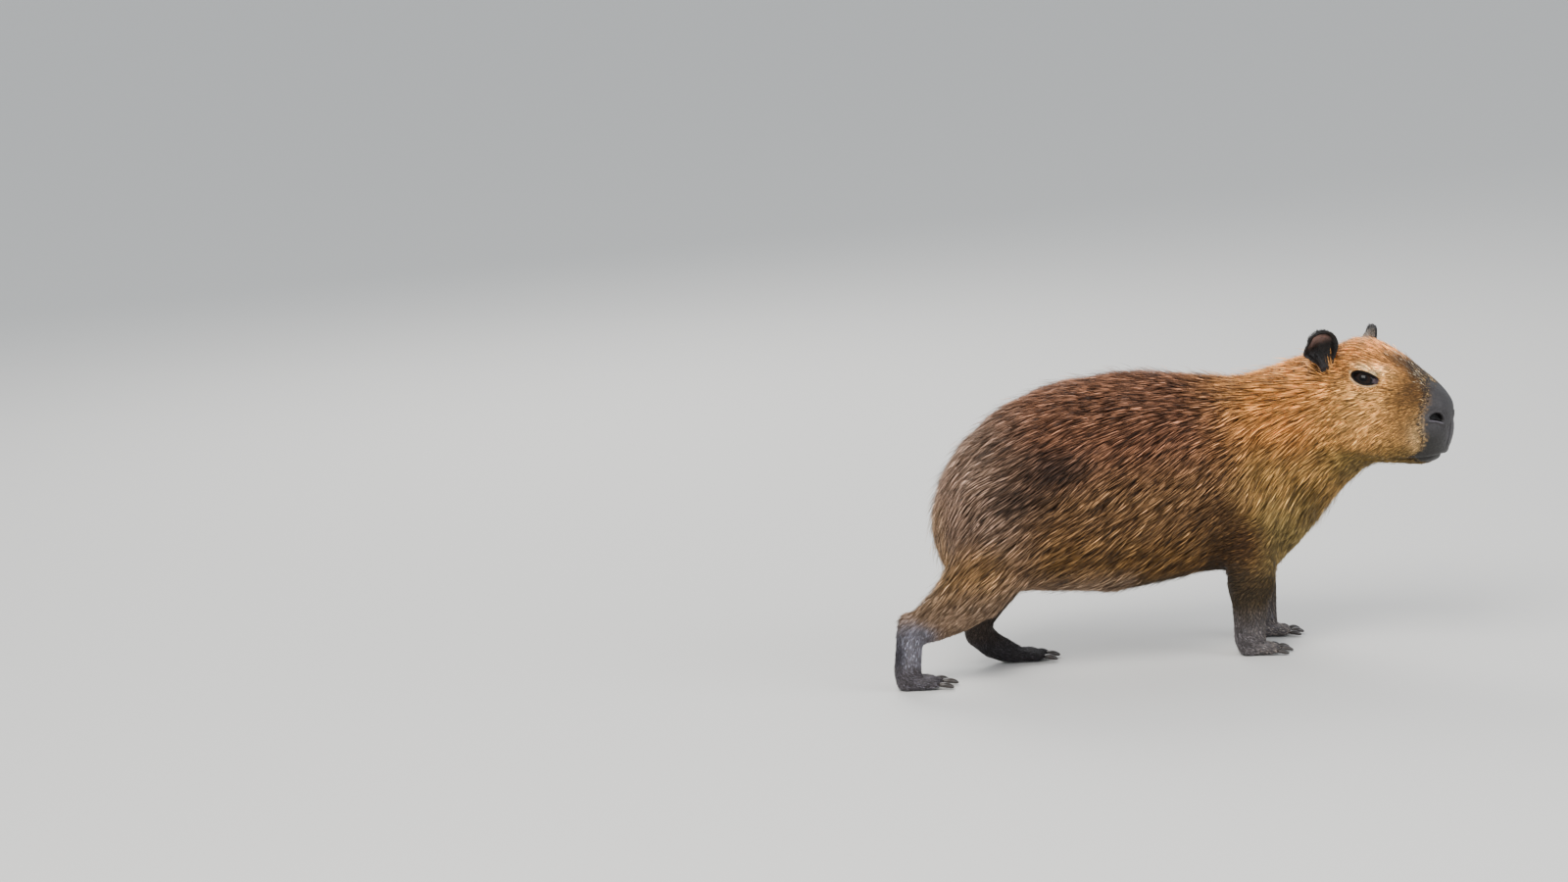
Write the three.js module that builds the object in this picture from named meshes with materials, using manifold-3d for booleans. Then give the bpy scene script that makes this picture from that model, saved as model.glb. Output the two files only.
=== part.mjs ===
// A life-size capybara, about a year old, walking with its head turned to its right.
// Millimetres. X runs forward along the back, Y to the animal's left, Z up, floor at z = 0.
// The trunk and head are drawn straight, as (s, l, z): s forward along the spine, l to the left.
// The function place() then bends the neck, which turns and tilts the head.
import * as THREE from 'three';
import { mergeVertices } from 'three/addons/utils/BufferGeometryUtils.js';
import Module from 'manifold-3d';

const wasm = await Module();
wasm.setup();

// Driving dimensions
const gap = 0.3;
const neckStart = 205;
const neckLength = 150;
const headTurn = THREE.MathUtils.degToRad(42);
const headTilt = THREE.MathUtils.degToRad(6);
const headTiltHeight = 360;
const trunkSides = 32;

// The eye, its lids and the opening between them. The opening's edges are measured from the eye's middle.
const eye = {
  s: 465.5, l: 51, z: 415.5, ball: 15, depth: 13, facing: [0.22, 0.94, 0.24], slope: -0.25,
  lid: 2.6, lidStretch: [1.35, 1.02, 1],
  width: 43, upper: 10, lower: 8.8, ahead: 2.5, cornerPower: 1.2, edgePoints: 20,
};
const ballFaces = [12, 8];
const lidFaces = [15, 10];

// The ear's cup. Heights on it run from 0 at the foot to 1 at the top.
const ear = {
  l: 51, z: 436, height: 52, root: 0.18, top: 0.985, halfWidth: 25.5, cup: 13, wall: 3.2, lean: 0.42,
  footWidth: 0.42, widest: 0.55, topReach: 0.47, leastHalf: 2, across: 7, upward: 9,
};
const earEdge = [{ at: 0.78, reach: 0.08, cut: 3 }, { at: 0.5, reach: 0.12, cut: -4 }];
const earTurns = { right: { s: 403, facing: 0.72 }, left: { s: 419, facing: 0.85 } };
const nostril = {
  s: 568.5, l: 25.5, z: 361.5, length: 10.5, height: 6.2, depth: 8, facing: [0.72, 0.68, 0.12], slope: 0.1,
};
const mouth = {
  depth: 4.5, height: 1.3, reach: 70,
  line: [[600, 318], [588, 314], [574, 307], [556, 302], [540, 299.5], [524, 299]],
};

// Where the torso, neck and head meet: a point on each plane and the plane's direction.
// The torso's plane turns by a share of the head's turn; both points are in the walking frame.
const neckCut = { at: [272, -12, 280], share: 0.32, forward: 0.94, up: -0.22 };
const headCut = { s: 405, z: 370, forward: 0.868, up: 0.494 };
const tailRows = [[-201, 0, 236, 8, 8], [-212, 0, 232, 8, 8], [-219, 0, 226, 6.5, 7], [-224, 0, 219, 3.5, 4]];
const lipCleft = { s: 587, z: 330, size: [5, 2, 22] };
// How many sides each of the round forms has.
const sides = { limb: 12, foot: 10, tail: 8, toe: 6, claw: 5 };

// The coat: the core lies this far inside the outline, and flat locks grow from it and lie back.
// The limbs' core is less deep, and each lock's heights are measured from the outline.
const coreDepth = 5.5;
const limbCore = 3.8;
const limbLockDepth = 0.7;
const lock = {
  length: 114, half: 28, alongPitch: 84, acrossPitch: 61,
  stations: [0, 0.34, 0.72], widths: [0.5, 1, 0.82],
  crests: [-9.5, -1.8, 0.5], thick: [5, 5.4, 3.4], edgeDrop: 0.55, tipCrest: -0.4,
};
// How much the locks differ: each value is the whole range of one measure.
const variety = { index: 0.35, angle: 0.3, size: 0.24, twist: 0.25, lift: 1.6 };
const limbVariety = { index: 0.3, angle: 0.2 };
const coatSeed = 58;
const bareBelly = { below: 150, half: 60 };
const coatRows = { first: 1.3, last: 15.6 };
const bellyCoat = { start: 112, end: 150, thinner: 0.8 };
const faceCoat = { start: 380, end: 440 };
const bareLimbRows = 3;

// How steeply the hair lies down the side, and how much steeper on the rump and neck.
const lieDown = {
  side: 0.42, rump: { start: 40, end: 230, more: 1.5 }, neck: { start: 230, end: 380, more: 0.35 },
};

// Section rows from rump to nose: where the section meets the back line and the belly line,
// its half width, how high its widest place is, and how square its upper and lower halves are.
const trunkRows = [
  { top: [-214, 262], bottom: [-214, 186], half: 46, widest: 0.5, upper: 2.1, lower: 2.1 },
  { top: [-203, 300], bottom: [-205, 158], half: 74, widest: 0.5, upper: 2.1, lower: 2.1 },
  { top: [-176, 339], bottom: [-180, 138], half: 94, widest: 0.5, upper: 2.1, lower: 2.1 },
  { top: [-130, 381], bottom: [-135, 124], half: 105, widest: 0.48, upper: 2.1, lower: 2.2 },
  { top: [-80, 408], bottom: [-80, 120], half: 112, widest: 0.46, upper: 2.1, lower: 2.2 },
  { top: [-20, 426], bottom: [-20, 116], half: 119, widest: 0.45, upper: 2.1, lower: 2.2 },
  { top: [45, 434], bottom: [45, 110], half: 123, widest: 0.45, upper: 2.1, lower: 2.2 },
  { top: [110, 432], bottom: [110, 116], half: 121, widest: 0.45, upper: 2.1, lower: 2.2 },
  { top: [165, 423], bottom: [170, 122], half: 114, widest: 0.46, upper: 2.1, lower: 2.2 },
  { top: [205, 416], bottom: [222, 120], half: 106, widest: 0.46, upper: 2.1, lower: 2.2 },
  { top: [238, 412], bottom: [270, 116], half: 96, widest: 0.46, upper: 2.1, lower: 2.1 },
  { top: [266, 415], bottom: [303, 124], half: 86, widest: 0.46, upper: 2.1, lower: 2.1 },
  { top: [292, 424], bottom: [333, 156], half: 77, widest: 0.46, upper: 2.1, lower: 2.1 },
  { top: [318, 434], bottom: [362, 192], half: 70, widest: 0.45, upper: 2.1, lower: 2.1 },
  { top: [342, 443], bottom: [390, 224], half: 66, widest: 0.44, upper: 2.1, lower: 2.1 },
  { top: [367, 450], bottom: [418, 257], half: 63, widest: 0.42, upper: 2.2, lower: 2.1 },
  { top: [390, 458], bottom: [442, 280], half: 62, widest: 0.4, upper: 2.3, lower: 2.2 },
  { top: [414, 465], bottom: [464, 290], half: 63, widest: 0.4, upper: 2.4, lower: 2.3 },
  { top: [438, 469], bottom: [482, 291], half: 62.5, widest: 0.4, upper: 2.4, lower: 2.4 },
  { top: [461, 466], bottom: [497, 290.5], half: 60, widest: 0.4, upper: 2.4, lower: 2.5 },
  { top: [485, 455.5], bottom: [512, 290], half: 55, widest: 0.4, upper: 2.4, lower: 2.6 },
  { top: [508, 443.5], bottom: [527, 290], half: 50, widest: 0.4, upper: 2.4, lower: 2.6 },
  { top: [528, 429.5], bottom: [541, 291], half: 46, widest: 0.4, upper: 2.4, lower: 2.6 },
  { top: [546, 417], bottom: [553, 295], half: 43, widest: 0.4, upper: 2.5, lower: 2.6 },
  { top: [560, 406], bottom: [562, 300.5], half: 39, widest: 0.42, upper: 2.5, lower: 2.6 },
  { top: [569, 397], bottom: [569, 306.5], half: 33.5, widest: 0.45, upper: 2.5, lower: 2.5 },
  { top: [576, 388], bottom: [574.5, 316.5], half: 27, widest: 0.5, upper: 2.3, lower: 2.3 },
  { top: [580, 377], bottom: [578.5, 330], half: 17, widest: 0.5, upper: 2.1, lower: 2.1 },
];
const rumpPole = [-218, 0, 224];
const nosePole = [581.5, 0, 354];
const limbPoleShare = 0.35;

// Swellings (+) and hollows (-) of the trunk and head, each made on both sides, and how fast they fade.
const reliefFade = 2;
const reliefEnd = 1.6;
const reliefs = [
  { name: 'brow', at: [468, 46, 446], reach: [26, 18, 14], lift: 4 },
  { name: 'temple', at: [432, 56, 425], reach: [16, 20, 24], lift: -2.5 },
  { name: 'cheek', at: [450, 60, 345], reach: [40, 26, 42], lift: 5 },
  { name: 'tear hollow', at: [500, 50, 402], reach: [22, 18, 22], lift: -4 },
  { name: 'whisker pad', at: [550, 40, 334], reach: [26, 22, 30], lift: 5 },
  { name: 'nose wing', at: [572, 24, 378], reach: [18, 18, 18], lift: 3 },
  { name: 'under lip', at: [520, 36, 292], reach: [40, 20, 12], lift: -5 },
  { name: 'flank', at: [-62, 112, 185], reach: [34, 50, 60], lift: -8 },
  { name: 'shoulder', at: [215, 100, 265], reach: [62, 50, 90], lift: 7 },
  { name: 'haunch', at: [-138, 100, 235], reach: [72, 50, 100], lift: 13 },
];

// Limb rows: x, distance from the mid plane, z, half depth fore and aft, half width.
const limbs = {
  front_right: {
    side: -1, ankle: 38, bare: { x: 240, z: 128, reach: 62 },
    rows: [[228, 60, 268, 22, 18], [231, 66, 250, 44, 30], [237, 70, 200, 50, 34], [240, 66, 150, 44, 31],
      [241, 58, 108, 37, 27], [239, 54, 76, 29, 23], [237, 52, 48, 25, 21], [237, 52, 24, 25, 23],
      [238, 52, 6, 20, 20], [239, 52, -6, 16, 16]],
    outline: [[186, -40], [186, 60], [176, 130], [176, 200], [206, 256], [248, 268], [290, 238], [304, 170],
      [304, 100], [330, 60], [330, -40]],
  },
  front_left: {
    side: 1, ankle: 38, bare: { x: 262, z: 128, reach: 62 },
    rows: [[230, 60, 268, 22, 18], [234, 66, 250, 44, 30], [248, 70, 200, 50, 34], [264, 66, 150, 43, 31],
      [276, 58, 108, 36, 27], [284, 54, 76, 28, 23], [286, 52, 48, 24, 21], [285, 52, 24, 25, 23],
      [286, 52, 6, 20, 20], [287, 52, -6, 16, 16]],
    outline: [[224, -40], [224, 60], [186, 130], [178, 200], [206, 256], [248, 268], [294, 238], [322, 170],
      [332, 100], [372, 60], [372, -40]],
  },
  hind_right: {
    side: -1, ankle: 84, bare: { x: -165, z: 150, reach: 74 },
    rows: [[-160, 52, 322, 24, 20], [-155, 56, 300, 44, 34], [-148, 58, 255, 60, 42], [-147, 60, 212, 68, 44],
      [-156, 62, 174, 66, 44], [-180, 60, 142, 55, 37], [-214, 57, 116, 45, 31], [-246, 53, 98, 35, 25],
      [-268, 51, 89, 26, 20], [-278, 50, 86, 15, 13]],
    lockRows: [
      { index: 4.1, angles: [0.7, 1.6], size: 0.72, back: 0.6 },
      { index: 5.5, angles: [0.4, 1.3], size: 0.6, back: 1.4 },
    ],
    foot: [[-268, 50, 116, 10, 9], [-271, 50, 106, 18, 15], [-276, 50, 82, 22, 18], [-280, 50, 52, 21.5, 18],
      [-283, 50, 28, 22, 20], [-282, 50, 8, 20, 20], [-281, 50, -6, 16, 16]],
    outline: [[-350, -40], [-350, 150], [-275, 215], [-252, 275], [-212, 322], [-150, 338], [-92, 305],
      [-66, 240], [-70, 170], [-86, 100], [-60, 50], [-60, -40]],
  },
  hind_left: {
    side: 1, ankle: 84, bare: { x: -130, z: 150, reach: 74 },
    rows: [[-155, 52, 322, 24, 20], [-150, 56, 300, 44, 34], [-142, 58, 255, 60, 42], [-126, 60, 212, 70, 44],
      [-108, 63, 174, 62, 43], [-106, 60, 140, 46, 35], [-122, 57, 112, 35, 29], [-138, 53, 88, 28, 23],
      [-149, 51, 70, 22, 19], [-154, 50, 60, 13, 12]],
    lockRows: [
      { index: 4.1, angles: [0.7, 1.6], size: 0.72, back: 0.6 },
      { index: 5.5, angles: [0.4, 1.3], size: 0.6, back: 1.4 },
    ],
    foot: [[-157, 50, 88, 12, 10], [-158, 50, 74, 22, 17], [-153, 50, 50, 24, 18], [-134, 50, 30, 22, 18],
      [-112, 50, 18, 19, 20], [-96, 50, 11, 15, 20], [-86, 50, 8, 9, 13]],
    outline: [[-230, -40], [-262, 150], [-275, 215], [-252, 275], [-212, 322], [-150, 338], [-92, 305],
      [-52, 240], [-34, 170], [-50, 100], [10, 50], [10, -40]],
  },
};
const legInside = 18;
const legOutside = 220;
const outlinePoints = 40;

// Feet: where the toes spring from, the toes' thickness and the claws' length.
// Each toe: its distance from the middle toe's line, its length and its spread in radians.
const frontToes = [[-15, 34, -0.3], [-5, 42, -0.1], [6, 42, 0.1], [16, 32, 0.34]];
const feet = {
  front_right: { x: 248, y: 52, toes: frontToes, radius: 8.5, claw: 9.5 },
  front_left: { x: 296, y: 52, toes: frontToes, radius: 8.5, claw: 9.5 },
  hind_right: { x: -278, y: 50, toes: [[-12, 50, -0.2], [0, 58, 0.02], [12, 48, 0.26]], radius: 10, claw: 11.5 },
  hind_left: { x: -92, y: 50, toes: [[-12, 42, -0.2], [0, 50, 0.02], [12, 40, 0.26]], radius: 10, claw: 11.5 },
};

// Bends the straight animal: the neck turns to the right on an arc and tilts the head as it goes.
function place(s, l, z) {
  const along = THREE.MathUtils.clamp(s - neckStart, 0, neckLength) / neckLength;
  const turn = headTurn * along;
  const tilt = headTilt * along;
  const radius = neckLength / headTurn;
  const beyond = s > neckStart + neckLength ? s - neckStart - neckLength : Math.min(s - neckStart, 0);
  const sideways = l * Math.cos(tilt) + (z - headTiltHeight) * Math.sin(tilt);
  const up = headTiltHeight + (z - headTiltHeight) * Math.cos(tilt) - l * Math.sin(tilt);
  return new THREE.Vector3(
    neckStart + radius * Math.sin(turn) + beyond * Math.cos(turn) + sideways * Math.sin(turn),
    -radius * (1 - Math.cos(turn)) - beyond * Math.sin(turn) + sideways * Math.cos(turn),
    up,
  );
}

function placed(geometry) {
  const position = geometry.attributes.position;
  for (let i = 0; i < position.count; i += 1) {
    const p = place(position.getX(i), position.getY(i), position.getZ(i));
    position.setXYZ(i, p.x, p.y, p.z);
  }
  return geometry;
}

// A direction of the straight head, turned with it.
function headDirection(s, l, z) {
  return place(500 + s, l, headTiltHeight + z).sub(place(500, 0, headTiltHeight)).normalize();
}

// Points at even angles right round.
function ringOf(count, at) {
  return Array.from({ length: count }, (_, j) => at(2 * Math.PI * j / count));
}

// A closed surface over rings of equal length, with a pole at each end, facing outward.
function closedRings(rings, firstPole, lastPole) {
  const points = [];
  const faces = [];
  const count = rings[0].length;
  rings.forEach((ring) => ring.forEach((p) => points.push(p.x, p.y, p.z)));
  const first = points.length / 3;
  points.push(firstPole.x, firstPole.y, firstPole.z, lastPole.x, lastPole.y, lastPole.z);
  for (let j = 0; j < count; j += 1) {
    const k = (j + 1) % count;
    faces.push(first, k, j);
    for (let i = 0; i + 1 < rings.length; i += 1) {
      const a = i * count + j;
      const b = i * count + k;
      faces.push(a, b, b + count, a, b + count, a + count);
    }
    const end = (rings.length - 1) * count;
    faces.push(first + 1, end + j, end + k);
  }
  const geometry = new THREE.BufferGeometry();
  geometry.setAttribute('position', new THREE.Float32BufferAttribute(points, 3));
  geometry.setIndex(faces);
  return outward(geometry);
}

function signedVolume(geometry) {
  const position = geometry.attributes.position;
  const index = geometry.index;
  const corner = [new THREE.Vector3(), new THREE.Vector3(), new THREE.Vector3()];
  let volume = 0;
  for (let i = 0; i < index.count; i += 3) {
    corner.forEach((c, n) => c.fromBufferAttribute(position, index.getX(i + n)));
    volume += corner[0].dot(corner[1].clone().cross(corner[2])) / 6;
  }
  return volume;
}

function outward(geometry) {
  if (signedVolume(geometry) < 0) {
    const index = geometry.index;
    for (let i = 0; i < index.count; i += 3) {
      const b = index.getX(i + 1);
      index.setX(i + 1, index.getX(i + 2));
      index.setX(i + 2, b);
    }
  }
  return geometry;
}

function welded(geometry) {
  const bare = geometry.clone();
  bare.deleteAttribute('normal');
  bare.deleteAttribute('uv');
  return mergeVertices(bare, 1e-4);
}

// The same surface moved out along its normals by a distance, or by a function of the point.
function grown(geometry, distance) {
  const merged = welded(geometry);
  merged.computeVertexNormals();
  const position = merged.attributes.position;
  const normal = merged.attributes.normal;
  for (let i = 0; i < position.count; i += 1) {
    const p = new THREE.Vector3().fromBufferAttribute(position, i);
    const n = new THREE.Vector3().fromBufferAttribute(normal, i);
    p.addScaledVector(n, typeof distance === 'function' ? distance(p) : distance);
    position.setXYZ(i, p.x, p.y, p.z);
  }
  merged.deleteAttribute('normal');
  return merged;
}

function toSolid(geometry) {
  const merged = welded(geometry);
  return new wasm.Manifold(new wasm.Mesh({
    numProp: 3,
    vertProperties: new Float32Array(merged.attributes.position.array),
    triVerts: new Uint32Array(merged.index.array),
  }));
}

// The largest closed surface of a solid, as a geometry.
function toGeometry(solid) {
  const surfaces = solid.decompose().map((piece) => {
    const mesh = piece.getMesh();
    const geometry = new THREE.BufferGeometry();
    const positions = new Float32Array(mesh.vertProperties.length / mesh.numProp * 3);
    for (let i = 0; i < positions.length / 3; i += 1) {
      for (let n = 0; n < 3; n += 1) positions[3 * i + n] = mesh.vertProperties[mesh.numProp * i + n];
    }
    geometry.setAttribute('position', new THREE.BufferAttribute(positions, 3));
    geometry.setIndex(Array.from(mesh.triVerts));
    return geometry;
  });
  surfaces.sort((a, b) => signedVolume(b) - signedVolume(a));
  return surfaces[0];
}

function smoothValue(a, b, c, d, t) {
  return 0.5 * (2 * b + (c - a) * t + (2 * a - 5 * b + 4 * c - d) * t * t + (3 * b - a - 3 * c + d) * t ** 3);
}

// A row between two rows of a table, on a smooth curve through its neighbours.
function smoothRow(rows, index, t) {
  const pick = (i) => rows[THREE.MathUtils.clamp(i, 0, rows.length - 1)];
  const near = [pick(index - 1), pick(index), pick(index + 1), pick(index + 2)];
  return near[1].map((_, k) => smoothValue(near[0][k], near[1][k], near[2][k], near[3][k], t));
}

function signedPower(value, power) {
  return Math.sign(value) * Math.abs(value) ** power;
}

// One point of a trunk section, before the reliefs.
function sectionPoint(row, angle) {
  const [topS, topZ, bottomS, bottomZ, half, widest, upper, lower] = row;
  const round = Math.cos(angle) > 0 ? upper : lower;
  const across = signedPower(Math.sin(angle), 2 / round) * half;
  const along = signedPower(Math.cos(angle), 2 / round);
  const height = along > 0 ? widest + (1 - widest) * along : widest * (1 + along);
  return new THREE.Vector3(bottomS + (topS - bottomS) * height, across, bottomZ + (topZ - bottomZ) * height);
}

function relieved(p, centre) {
  const out = p.clone().sub(centre).normalize();
  reliefs.forEach(({ at, reach, lift }) => {
    const side = p.y < 0 ? -1 : 1;
    const away = Math.hypot((p.x - at[0]) / reach[0], (p.y - side * at[1]) / reach[1], (p.z - at[2]) / reach[2]);
    if (away < reliefEnd) p.addScaledVector(out, lift * Math.exp(-reliefFade * away * away));
  });
  return p;
}

const trunkTable = trunkRows.map((row) => [
  ...row.top, ...row.bottom, row.half, row.widest, row.upper, row.lower,
]);

// A point on the outline, before the neck bends. Index counts along the rows; below 0 it nears the rump's pole.
function trunkPoint(index, angle) {
  if (index < 0) return trunkPoint(0, angle).lerp(new THREE.Vector3(...rumpPole), 1 - Math.exp(index));
  const row = THREE.MathUtils.clamp(Math.floor(index), 0, trunkTable.length - 2);
  const section = smoothRow(trunkTable, row, index - row);
  const centre = sectionPoint(section, 0).add(sectionPoint(section, Math.PI)).multiplyScalar(0.5);
  return relieved(sectionPoint(section, angle), centre);
}

// How far the core lies inside the outline: all over the body, and fading out on the face and under the belly.
function coreInset(p) {
  const onBelly = 1 - THREE.MathUtils.smoothstep(p.z, bellyCoat.start, bellyCoat.end);
  const onFace = THREE.MathUtils.smoothstep(p.x, faceCoat.start, faceCoat.end);
  return coreDepth * (1 - onFace) * (1 - bellyCoat.thinner * onBelly);
}

// The trunk and head as the coat's core: the outline less the coat's depth, with the neck bent.
function coreGeometry() {
  const rings = trunkRows.map((row, i) => ringOf(trunkSides, (angle) => trunkPoint(i, angle)));
  const straight = closedRings(rings, new THREE.Vector3(...rumpPole), new THREE.Vector3(...nosePole));
  return placed(grown(straight, (p) => -coreInset(p)));
}

// A point on a limb's rings, which are square to its path. Each row: x, y, z, half depth, half width.
function limbPoint(rows, index, angle) {
  const pick = (i) => {
    const row = THREE.MathUtils.clamp(Math.floor(i), 0, rows.length - 2);
    return smoothRow(rows, row, THREE.MathUtils.clamp(i, 0, rows.length - 1) - row);
  };
  const here = pick(index);
  const before = new THREE.Vector3(...pick(index - 0.5));
  const along = new THREE.Vector3(...pick(index + 0.5)).sub(before).normalize();
  const deep = new THREE.Vector3(0, 1, 0).cross(along).normalize();
  const wide = along.clone().cross(deep).normalize();
  return new THREE.Vector3(here[0], here[1], here[2])
    .addScaledVector(deep, here[3] * Math.cos(angle))
    .addScaledVector(wide, here[4] * Math.sin(angle));
}

function limbGeometry(rows, count) {
  const rings = rows.map((row, i) => ringOf(count, (angle) => limbPoint(rows, i, angle)));
  const pole = (a, b) => {
    const p = new THREE.Vector3(...rows[a]);
    const q = new THREE.Vector3(...rows[b]);
    return p.clone().addScaledVector(p.clone().sub(q).normalize(), limbPoleShare * rows[a][4]);
  };
  const last = rows.length - 1;
  return closedRings(rings, pole(0, 1), pole(last, last - 1));
}

// Limb rows less the coat's depth, which fades out down the limb.
function coated(rows, inset) {
  const last = rows.length - 1;
  return rows.map(([x, y, z, deep, wide], i) => {
    const less = inset * (1 - THREE.MathUtils.smoothstep(i, last - bareLimbRows, last));
    return [x, y, z, deep - less, wide - less];
  });
}

function sided(rows, side) {
  return rows.map(([x, y, z, deep, wide]) => [x, side * y, z, deep, wide]);
}

// A closed outline, running anticlockwise, moved out by a distance.
function outlineGrown(points, distance) {
  return points.map((p, i) => {
    const along = points[(i + 1) % points.length].clone().sub(points.at(i - 1)).normalize();
    return new THREE.Vector2(p.x + along.y * distance, p.y - along.x * distance);
  });
}

// The outline of a leg in side view, pushed through from beside the mid plane to beyond the coat.
function legRegion(limb, grow) {
  const corners = limb.outline.map(([x, z]) => new THREE.Vector3(x, z, 0)).reverse();
  const points = new THREE.CatmullRomCurve3(corners, true).getPoints(outlinePoints).slice(1);
  const shape = new THREE.Shape(outlineGrown(points, grow));
  const geometry = new THREE.ExtrudeGeometry(shape, { depth: legOutside, bevelEnabled: false });
  geometry.rotateX(Math.PI / 2);
  const inner = legInside - grow;
  geometry.translate(0, limb.side > 0 ? inner + legOutside : -inner, 0);
  return geometry;
}

// A large block whose one face lies on a plane; the block is on the side that the normal points to.
function blockBeyond(point, normal, shift) {
  const size = 2000;
  const block = new THREE.BoxGeometry(size, size, size);
  block.translate(0, 0, size / 2 + shift);
  block.applyQuaternion(new THREE.Quaternion().setFromUnitVectors(new THREE.Vector3(0, 0, 1), normal));
  block.translate(point.x, point.y, point.z);
  return toSolid(block);
}

// Parts a solid in two along a plane, with the gap between them.
function parted(solid, point, normal) {
  return {
    beyond: solid.intersect(blockBeyond(point, normal, gap / 2)),
    before: solid.subtract(blockBeyond(point, normal, -gap / 2)),
  };
}

// Turns a shape drawn with x forward along the slit, y up and z out of the face, onto the face.
function onFace(geometry, centre, out, slope) {
  const z = out.clone().normalize();
  const x = headDirection(1, 0, slope);
  x.addScaledVector(z, -x.dot(z)).normalize();
  const y = z.clone().cross(x);
  if (y.z < 0) y.negate();
  const basis = new THREE.Matrix4().makeBasis(x, y, z).setPosition(centre);
  return outward(welded(geometry.clone().applyMatrix4(basis)));
}

// A direction of the straight head given for the left side, turned with the head and taken to a side.
function facingOf([ahead, outwards, up], side) {
  return headDirection(ahead, side * outwards, up);
}

// The eyeball, the room for it, the lids, and the opening between them, which runs out through the lids.
function eyeSolids(side) {
  const out = facingOf(eye.facing, side);
  const centre = place(eye.s, side * eye.l, eye.z).addScaledVector(out, -eye.depth);
  const ball = new THREE.SphereGeometry(eye.ball, ...ballFaces);
  const socket = new THREE.SphereGeometry(eye.ball + gap, ...ballFaces);
  const lids = new THREE.SphereGeometry(eye.ball + eye.lid, ...lidFaces).scale(...eye.lidStretch);
  const slit = new THREE.Shape(ringOf(eye.edgePoints, (angle) => {
    const high = Math.sin(angle) > 0 ? eye.upper : eye.lower;
    return new THREE.Vector2(
      eye.width / 2 * Math.cos(angle) + eye.ahead,
      signedPower(Math.sin(angle), eye.cornerPower) * high,
    );
  }));
  const opening = new THREE.ExtrudeGeometry(slit, { depth: 40, bevelEnabled: false }).translate(0, 0, 5);
  const put = (geometry) => toSolid(onFace(geometry, centre, out, eye.slope));
  return { ball: put(ball), socket: put(socket), lids: put(lids), opening: put(opening) };
}

function nostrilSolid(side) {
  const centre = place(nostril.s, side * nostril.l, nostril.z);
  const hole = new THREE.SphereGeometry(1, ...ballFaces).scale(nostril.length, nostril.height, nostril.depth);
  return toSolid(onFace(hole, centre, facingOf(nostril.facing, side), nostril.slope));
}

// The line of the mouth: a thin bent slab right across the muzzle, less what lies deeper in.
function mouthSolid(trunk) {
  const edge = (lift) => mouth.line.map(([s, z]) => new THREE.Vector2(s, z + lift));
  const strip = new THREE.Shape([...edge(mouth.height), ...edge(-mouth.height).reverse()]);
  const slab = new THREE.ExtrudeGeometry(strip, { depth: 2 * mouth.reach, bevelEnabled: false });
  slab.rotateX(Math.PI / 2).translate(0, mouth.reach, 0);
  return toSolid(placed(slab)).subtract(toSolid(grown(trunk, -mouth.depth)));
}

// An ear as a curved cup: two faces over one outline, joined at the rim.
function earGeometry(side, { s, facing: turn }) {
  const { across, upward } = ear;
  const facing = headDirection(Math.sin(turn), side * Math.cos(turn), 0.12);
  const lean = headDirection(-0.1, side * ear.lean, 1);
  const rearward = lean.clone().cross(facing).multiplyScalar(side).normalize();
  const face = rearward.clone().cross(lean).multiplyScalar(side).normalize();
  if (face.dot(facing) < 0) face.negate();
  const base = place(s, side * ear.l, ear.z);
  const halfAt = (v, rear) => {
    const round = Math.sqrt(Math.max(0, 1 - ((v - ear.widest) / ear.topReach) ** 2));
    const flared = ear.footWidth + (1 - ear.footWidth) * THREE.MathUtils.smoothstep(v, -0.1, 0.5);
    const share = v < ear.widest ? flared : round;
    const cuts = earEdge.map(({ at, reach, cut }) => (rear ? cut * Math.exp(-(((v - at) / reach) ** 2)) : 0));
    return Math.max(ear.leastHalf, ear.halfWidth * share - cuts[0] - cuts[1]);
  };
  const point = (u, v, back) => {
    const wide = u * halfAt(v, u > 0);
    const bowl = Math.sin(Math.PI * THREE.MathUtils.clamp(v + 0.1, 0, 1));
    const hollow = ear.cup * (1 - u * u) * (0.25 + 0.75 * bowl);
    const rim = back ? ear.wall * (0.55 + 0.45 * (1 - u ** 4)) : 0;
    return base.clone()
      .addScaledVector(lean, ear.height * v)
      .addScaledVector(rearward, wide)
      .addScaledVector(face, -hollow - rim + ear.cup * 0.6);
  };
  const rings = [];
  for (let i = 0; i <= upward; i += 1) {
    const v = -ear.root + (ear.top + ear.root) * Math.sin(Math.PI / 2 * i / upward);
    const ring = [];
    for (let j = 0; j <= across; j += 1) ring.push(point(2 * j / across - 1, v, false));
    for (let j = across; j >= 0; j -= 1) ring.push(point(2 * j / across - 1, v, true));
    rings.push(ring);
  }
  const mid = (v) => point(0, v, false).lerp(point(0, v, true), 0.5);
  return closedRings(rings, mid(-ear.root - 0.02), mid(1));
}

// A stream of numbers from 0 to 1 that is the same each time.
function randomStream(seed) {
  let state = seed;
  return () => {
    state = (state + 0x6d2b79f5) | 0;
    let mixed = Math.imul(state ^ (state >>> 15), 1 | state);
    mixed = (mixed + Math.imul(mixed ^ (mixed >>> 7), 61 | mixed)) ^ mixed;
    return ((mixed ^ (mixed >>> 14)) >>> 0) / 4294967296;
  };
}

// The surface's slopes at a place: how the point moves with the index and with the angle, and its normal.
function frameAt({ at, turn }, { index, angle }) {
  const small = 0.02;
  const here = at(index, angle);
  const byIndex = at(index + small, angle).sub(at(index - small, angle)).multiplyScalar(0.5 / small);
  const byAngle = at(index, angle + small).sub(at(index, angle - small)).multiplyScalar(0.5 / small);
  return { here, byIndex, byAngle, normal: byIndex.clone().cross(byAngle).multiplyScalar(turn).normalize() };
}

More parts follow.
